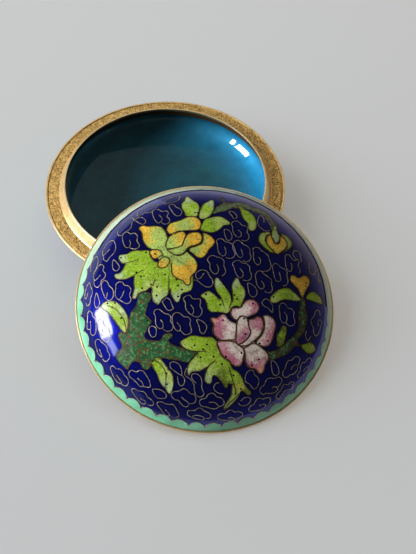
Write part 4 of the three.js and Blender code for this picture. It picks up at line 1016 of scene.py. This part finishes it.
def rim_zone(r, z, a):
    # the bore inside the neck and under the flange is -1, painted dark as shade
    if r < 31.6 and z < FLANGE_Z + NECK_H - 0.15 or r < 32.6 and z < FLANGE_Z + 0.9:
        return -1.0
    if z > FLANGE_Z + 0.02 or r < 33.6:
        return 1.0
    if r > 37.4:
        return 0.9
    return 0.0


rim_section = rounded([
    (RING_BORE_R, BASE_TOP), (SHELL_R, BASE_TOP), (MOUTH_R, BASE_TOP + 0.02), (MOUTH_R, FLANGE_Z),
    (GROOVE_R1, FLANGE_Z), (GROOVE_R1 - 0.1, FLANGE_Z - GROOVE_D), (GROOVE_R0 + 0.1, FLANGE_Z - GROOVE_D), (GROOVE_R0, FLANGE_Z),
    (NECK_FOOT_R + 0.2, FLANGE_Z), (NECK_FOOT_R - 0.06, FLANGE_Z + 0.2), (NECK_TIP_R, FLANGE_Z + NECK_H), (NECK_BORE_R, FLANGE_Z + NECK_H), (RING_BORE_R, FLANGE_Z + 0.75),
], [0.05, 0.05, 0.1, 0.25, 0.06, 0.05, 0.05, 0.06, 0.12, 0.15, 0.18, 0.12, 0.3])
base_rim = lathe_object("base_mouth_ring", rim_section, on_base, MAT_BRASS, "base_rim", zone_of=rim_zone, segments=320)

lid_rim_section = rounded([
    (LID_BORE_R, 0), (MOUTH_R, 0), (MOUTH_R, LID_RING_T), (SHELL_R - 0.02, LID_RING_T + 0.01), (LID_BORE_R, LID_RING_T),
], [0.15, 0.2, 0.25, 0.03, 0.15])
lid_rim = lathe_object("lid_mouth_ring", lid_rim_section, on_lid, MAT_BRASS, "lid_rim", zone_of=lambda r, z, a: 0.9 if r > 37.3 else 0.2, segments=320)

# lid: copper dome and lining
lathe_object("lid_copper_dome", arc(LID_IN, LID_OUT, COPPER_FROM, 0, HALF, 24) + arc(LID_IN, LID_OUT, COPPER_TO, 0, HALF, 24)[::-1],
             on_lid, MAT_COPPER, "lid_dome", segments=160)
lathe_object("lid_lining", arc(LID_IN, LID_OUT, 0, 0, HALF, 40) + arc(LID_IN, LID_OUT, COPPER_FROM, 0, HALF, 24)[::-1],
             on_lid, MAT_TURQ_DULL, "lid_enamel_inside", segments=240)


# base: bowl lining with a slightly uneven fired surface
def uneven(amount):
    def f(j, r, z, a):
        x, y = r * math.cos(a), r * math.sin(a)
        h = blotch(x, y + z, 8.0, 2.2) * amount
        return (0.0, h) if z < 11.5 else (0.0, 0.0)
    return f


lining = arc(BASE_IN, BASE_OUT, 0, 0, HALF, 90)
# its zone grows paler up the wall where the glass thins, and is painted light on the side facing the window, fading
# round the bowl
lathe_object("bowl_lining", arc(BASE_IN, BASE_OUT, COPPER_FROM, 0, HALF, 40) + lining[::-1], on_base, MAT_TURQ,
             "base_enamel_inside", wobble=uneven(0.03), segments=300,
             zone_of=lambda r, z, a: float(np.clip((r - 20.0) / 12.0, 0, 1) ** 1.2 * np.clip(0.42 + 0.75 * math.cos(a + 0.25), 0.05, 1)))

# copper bowl with its foot ring
wall_from = angle_at(BASE_IN, BASE_OUT, COPPER_TO, FOOT_R1)
rec_to = angle_at(BASE_IN, BASE_OUT, COPPER_TO, FOOT_R0)
enamel_from = angle_at(BASE_IN, BASE_OUT, 1, FOOT_R1)
enamel_to = angle_at(BASE_IN, BASE_OUT, 1, FOOT_R0)
rec_end = arc(BASE_IN, BASE_OUT, 1, 0, enamel_to, 2)[-1]
wall_start = arc(BASE_IN, BASE_OUT, 1, enamel_from, HALF, 2)[0]
foot = rounded([rec_end, (FOOT_R0, 0.0), (FOOT_R1, 0.0), wall_start], [0, 0.3, 0.3, 0])
lathe_object("base_copper_bowl", arc(BASE_IN, BASE_OUT, COPPER_TO, 0, rec_to, 12) + foot
             + arc(BASE_IN, BASE_OUT, COPPER_TO, wall_from, HALF, 24) + arc(BASE_IN, BASE_OUT, COPPER_FROM, 0, HALF, 40)[::-1],
             on_base, MAT_FOOT, "base_bowl", segments=240)
lathe_object("base_underside", arc(BASE_IN, BASE_OUT, 1, 0, enamel_to, 24) + arc(BASE_IN, BASE_OUT, COPPER_TO, 0, rec_to, 12)[::-1],
             on_base, MAT_TURQ_DULL, "base_enamel_underside", segments=200)

# base: outer wall, cobalt with clouds and a scalloped band under the rim
wall_a = np.linspace(enamel_from, HALF, 900)
wr, wz = layer(BASE_IN, BASE_OUT, 1, wall_a)
WALL_SHEET = Unrolled(wr, wz, False)
REF, H = WALL_SHEET.ref, WALL_SHEET.length
ROUND = 2 * math.pi * REF
N_ROUND = 480
seam = 12
top = np.c_[np.linspace(0, ROUND, N_ROUND + 1), np.full(N_ROUND + 1, H)]
low = np.c_[np.linspace(0, ROUND, N_ROUND + 1), np.zeros(N_ROUND + 1)]
side_n = 30
left = np.c_[np.zeros(side_n - 1), np.linspace(0, H, side_n + 1)[1:-1]]
right = left + [ROUND, 0]
outer_loop = np.vstack([low, right, top[::-1], left[::-1]])
CLOUD = np.array([(.34, .48), (.47, .66), (.47, .82), (.34, .90), (.16, .80), (.08, .59), (.08, .36), (0, .16), (.08, .04), (.26, .01), (.42, .11),
                  (.58, .20), (.79, .25), (.89, .36), (.87, .55), (1, .73), (.97, .91), (.84, 1), (.63, 1), (.47, .91)])
pitch = ROUND / SCALLOPS
sx = np.linspace(0, ROUND, SCALLOPS * 12 + 1)
band_y = H - 1.6 - 1.7 * np.abs(np.sin(math.pi * sx / pitch)) ** 0.62
petals = 35
foot_y = 1.0 + 1.5 * np.abs(np.sin(math.pi * np.linspace(0, ROUND, petals * 12 + 1) / (ROUND / petals))) ** 0.62
wall_pts, wall_edges = [], []


def wall_loop(q, closed):
    s = len(wall_pts)
    wall_pts.extend((float(x), float(y)) for x, y in q)
    n = len(q)
    wall_edges.extend((s + i, s + (i + 1) % n) for i in range(n if closed else n - 1))


wall_loop(outer_loop, True)
band_line = np.c_[sx, band_y]
foot_line = np.c_[np.linspace(0, ROUND, petals * 12 + 1), foot_y]
wall_loop(band_line[1:-1], False)
wall_loop(foot_line[1:-1], False)
for q in hexagons(0.5, ROUND - 0.5, 0.4, H - 0.3, 0.85):
    wall_pts.append((float(q[0]), float(q[1])))
wv, _, wf, _, _, _ = delaunay_2d_cdt([Vector(q) for q in wall_pts], wall_edges, [], 0, 1e-5, False)
wv = np.array([[q.x, q.y] for q in wv])
wf = np.array([list(t) for t in wf])
wc = wv[wf].mean(1)
wk = np.zeros(len(wf), int)
wk[wc[:, 1] > np.interp(wc[:, 0], sx, band_y)] = 1
wk[wc[:, 1] < np.interp(wc[:, 0], foot_line[:, 0], foot_y)] = 1
cloud_paths = []
cols = 26
for row, (y0, size, rise) in enumerate(((3.6, 5.6, 4.2), (8.6, 6.4, 4.6))):
    for i in range(cols):
        flip = -1 if (i + row) % 2 else 1
        cx = (i + 0.5 * row + 0.25) * ROUND / cols
        q = (CLOUD - 0.5) * [flip * size, -rise] + [cx, y0 + rise / 2 + 0.35 * math.sin(i * 2.3 + row)]
        cloud_paths.append((q, False, 1.0))
        drop = np.array([(0, 0.9), (0.55, 0.1), (0.3, -0.7), (-0.3, -0.7), (-0.55, 0.1)]) * [1.0, 1.0]
        cloud_paths.append((drop + [cx + ROUND / cols * 0.5, y0 + rise / 2 - 0.2], True, 0.9))
near = kdtree.KDTree(sum(len(spline(q, c, 0.5)) for q, c, _ in cloud_paths))
k = 0
for q, c, _ in cloud_paths:
    for x, y in spline(q, c, 0.5):
        near.insert((x, y, 0), k)
        k += 1
near.balance()
wgap = np.array([near.find((x, y, 0))[2] for x, y in wv])
wm = np.array([blotch(math.cos(x / REF) * REF, math.sin(x / REF) * REF + y, 6.0, 4.4) for x, y in wv])
cg = np.clip(wgap / 0.9, 0, 1)
cw = np.clip(0.55 * cg + 0.3 + 0.35 * wm, 0, 1)[:, None]
col0 = COBALT_DEEP * (1 - cw) + COBALT * cw
mw = np.clip(0.6 + 0.5 * wm, 0, 1)[:, None]
col1 = MINT_DEEP * (1 - mw) + MINT * mw
wcol = np.where(np.repeat(wk, 3)[:, None] == 1, col1[wf.reshape(-1)], col0[wf.reshape(-1)])
wp, wn = WALL_SHEET.frame(wv)
# close the seam: points at the end of the strip are those at its start
right_side = np.nonzero(wv[:, 0] > ROUND - 1e-6)[0]
left_side = np.nonzero(wv[:, 0] < 1e-6)[0]
merge = np.arange(len(wv))
for i in right_side:
    merge[i] = left_side[np.argmin(np.abs(wv[left_side, 1] - wv[i, 1]))]
used = np.array(sorted(set(merge.tolist())))
remap = np.full(len(wv), -1)
remap[used] = np.arange(len(used))
wfm = remap[merge[wf]]
wpu, wnu = wp[used], wn[used]
uvu = wv[used]
back = arc(BASE_IN, BASE_OUT, COPPER_TO, wall_from, HALF, 10)
bottom_ids = np.nonzero(uvu[:, 1] < 1e-6)[0]
bottom_ids = bottom_ids[np.argsort(uvu[bottom_ids, 0])]
top_ids = np.nonzero(uvu[:, 1] > H - 1e-6)[0]
top_ids = top_ids[np.argsort(uvu[top_ids, 0])]
wang = uvu[bottom_ids, 0] / REF
vs, ns, bf = [wpu], [wnu], []
prev, count = bottom_ids, len(wpu)
M = len(bottom_ids)
for r0, z0 in back:
    ids = np.arange(count, count + M)
    vs.append(np.c_[r0 * np.cos(wang), r0 * np.sin(wang), np.full(M, z0)])
    ns.append(np.c_[-np.cos(wang), -np.sin(wang), np.zeros(M)])
    for i in range(M):
        k = (i + 1) % M
        bf.append([int(prev[i]), int(ids[i]), int(ids[k]), int(prev[k])])
    prev, count = ids, count + M
for i in range(M):
    k = (i + 1) % M
    bf.append([int(prev[i]), int(top_ids[i]), int(top_ids[k]), int(prev[k])])
wcols = np.vstack([wcol, np.tile(COBALT_DEEP, (sum(len(f) for f in bf), 1))])
make_object("base_wall_picture", on_base(np.vstack(vs)), [list(map(int, t)) for t in wfm] + bf, MAT_COBALT, node="base_enamel_wall",
            normals=np.vstack(ns), colours=wcols, extra_materials=(MAT_MINT,), material_index=np.r_[wk, np.zeros(len(bf), int)])
wires(WALL_SHEET, on_base, cloud_paths + [(band_line[:-1], False, 0.75), (foot_line[:-1], False, 0.75)], "base_cloud_wires", MAT_WIRE, 0.34, 0.06, step=0.45)

# ---------------------------------------------------------------------- staging
floor_mesh = bpy.data.meshes.new("floor")
floor_mesh.from_pydata([(-3, -3, 0), (3, -3, 0), (3, 3, 0), (-3, 3, 0)], [], [[0, 1, 2, 3]])
floor = bpy.data.objects.new("floor", floor_mesh)
bpy.context.scene.collection.objects.link(floor)
m, nt, bsdf = new_material("floor_pale")
bsdf.inputs["Base Color"].default_value = (0.84, 0.84, 0.845, 1)
bsdf.inputs["Roughness"].default_value = 0.9
floor_mesh.materials.append(m)
floor.location.z = -0.00005

camera_data = bpy.data.cameras.new("camera")
camera_data.sensor_fit = "HORIZONTAL"
camera_data.sensor_width = 36.0
camera_data.lens = 80.07
camera_data.clip_start, camera_data.clip_end = 0.01, 10
camera = bpy.data.objects.new("camera", camera_data)
bpy.context.scene.collection.objects.link(camera)
right = Vector((0.999764, 0.017604, 0.012709))
forward = Vector((0.0, 0.585322, -0.810801))
up = right.cross(forward)
rot = Matrix((right, up, -forward)).transposed().to_4x4()
position = Vector(BASE_AXIS * MM) + Vector((14.088, -195.578, 236.355)) * MM
camera.matrix_world = Matrix.Translation(position) @ rot
bpy.context.scene.camera = camera


def window(name, az0, az1, el0, el1, distance, radiance, colour, diffuse=True, glossy=True, roll=0.0):
    """A lit pane seen from the box between two compass directions and two heights."""
    az, el = math.radians((az0 + az1) / 2), math.radians((el0 + el1) / 2)
    d = Vector((math.cos(el) * math.cos(az), math.cos(el) * math.sin(az), math.sin(el)))
    light = bpy.data.lights.new(name, "AREA")
    light.shape = "RECTANGLE"
    light.size = 2 * distance * math.tan(math.radians(az1 - az0) / 2) * math.cos(el)
    light.size_y = 2 * distance * math.tan(math.radians(el1 - el0) / 2)
    light.energy = 4.0 * light.size * light.size_y * radiance
    light.color = colour
    o = bpy.data.objects.new(name, light)
    bpy.context.scene.collection.objects.link(o)
    z = d.normalized()
    x = Vector((0, 0, 1)).cross(z).normalized()
    y = z.cross(x)
    o.matrix_world = Matrix.Translation(d * distance) @ Matrix((x, y, z)).transposed().to_4x4() @ Matrix.Rotation(math.radians(roll), 4, "Z")
    o.visible_diffuse = diffuse
    o.visible_glossy = glossy
    return o


def receivers(light_obj, names):
    """The light reaches only these pieces."""
    c = bpy.data.collections.new(light_obj.name + "_on")
    for n in names:
        c.objects.link(bpy.data.objects[n])
    light_obj.light_linking.receiver_collection = c


PIECES = [o.name for o in bpy.data.objects if o.type == "MESH" and not o.hide_render and o.name != "floor"]
LID_PIECES = [n for n in PIECES if n.startswith("lid_")]
BASE_PIECES = [n for n in PIECES if not n.startswith("lid_")]
RINGS = ["base_mouth_ring", "lid_mouth_ring"]
receivers(window("window_low", 168, 200, 6, 40, 1.5, 20.0, (0.86, 0.94, 1.0), glossy=False), PIECES)
receivers(window("window_rings", 168, 200, 6, 40, 1.52, 1.9, (0.98, 1.0, 1.0), diffuse=False), RINGS)
receivers(window("window_wires", 168, 200, 6, 40, 1.53, 2.2, (0.94, 0.98, 1.0), diffuse=False), ["lid_cloud_wires", "lid_motif_wires", "lid_petal_wires"])
receivers(window("sheen_behind", 105, 178, 4, 30, 1.54, 0.62, (0.86, 0.94, 1.0), diffuse=False), LID_PIECES)
receivers(window("sheen_left", 180, 240, 0, 20, 1.55, 0.22, (0.86, 0.94, 1.0), diffuse=False), LID_PIECES)
receivers(window("pane_long_base", 175, 189.4, 21, 40, 1.3, 32.0, (1.0, 1.0, 1.0), diffuse=False, roll=16), BASE_PIECES)
receivers(window("pane_short_base", 193.2, 197.4, 20, 43, 1.3, 30.0, (1.0, 1.0, 1.0), diffuse=False, roll=16), BASE_PIECES)
receivers(window("pane_long_lid", 181, 201, 31, 45.5, 1.3, 15.0, (0.97, 0.99, 1.0), diffuse=False), LID_PIECES)
receivers(window("pane_short_lid", 201, 214, 33, 41.5, 1.3, 5.0, (0.8, 0.9, 1.0), diffuse=False), LID_PIECES)
receivers(window("ring_sheen", 30, 150, 35, 80, 1.6, 0.46, (1.0, 0.95, 0.86), diffuse=False), RINGS)
receivers(window("window_table", 145, 215, 8, 60, 1.5, 1.5, (0.86, 0.95, 1.06), glossy=False), ["floor"])
table_fill = window("table_fill", 40, 140, 40, 80, 1.6, 1.2, (1.0, 0.96, 0.86), glossy=False)
table_fill.data.use_shadow = False
receivers(table_fill, ["floor"])
receivers(window("bowl_fill", 40, 140, 55, 88, 1.6, 0.55, (1.0, 1.0, 1.0), glossy=False), ["bowl_lining"])
receivers(window("bowl_haze", 40, 140, 30, 80, 1.62, 0.12, (1.0, 0.98, 0.94), diffuse=False), ["bowl_lining"])
window("room_fill", -60, 60, 20, 60, 1.6, 0.22, (1.0, 0.94, 0.84), glossy=False)
window("ceiling_fill", 150, 210, 60, 88, 1.6, 0.4, (1.0, 0.97, 0.92), glossy=False)

world = bpy.data.worlds.new("world")
world.use_nodes = True
wt = world.node_tree
direction = wt.nodes.new("ShaderNodeTexCoord")
split = wt.nodes.new("ShaderNodeSeparateXYZ")
wt.links.new(direction.outputs["Generated"], split.inputs[0])
height = ramp(wt, split.outputs["Z"], 0.05, 0.52, 1.0, 0.0)
behind = ramp(wt, split.outputs["Y"], 0.0, 0.95, 0.08, 1.0)
glow = math_node(wt, "MULTIPLY", height, behind)
warm_side = ramp(wt, split.outputs["X"], 0.0, 0.9)
sky = mix_colour(wt, glow, (0.04, 0.04, 0.043), mix_colour(wt, warm_side, (0.90, 0.92, 0.94), (0.62, 0.48, 0.30)))
wt.links.new(sky, wt.nodes["Background"].inputs["Color"])
wt.nodes["Background"].inputs["Strength"].default_value = 1.0
bpy.context.scene.world = world
bpy.context.scene.view_settings.view_transform = "Standard"
bpy.context.scene.view_settings.look = "None"

bpy.context.view_layer.update()
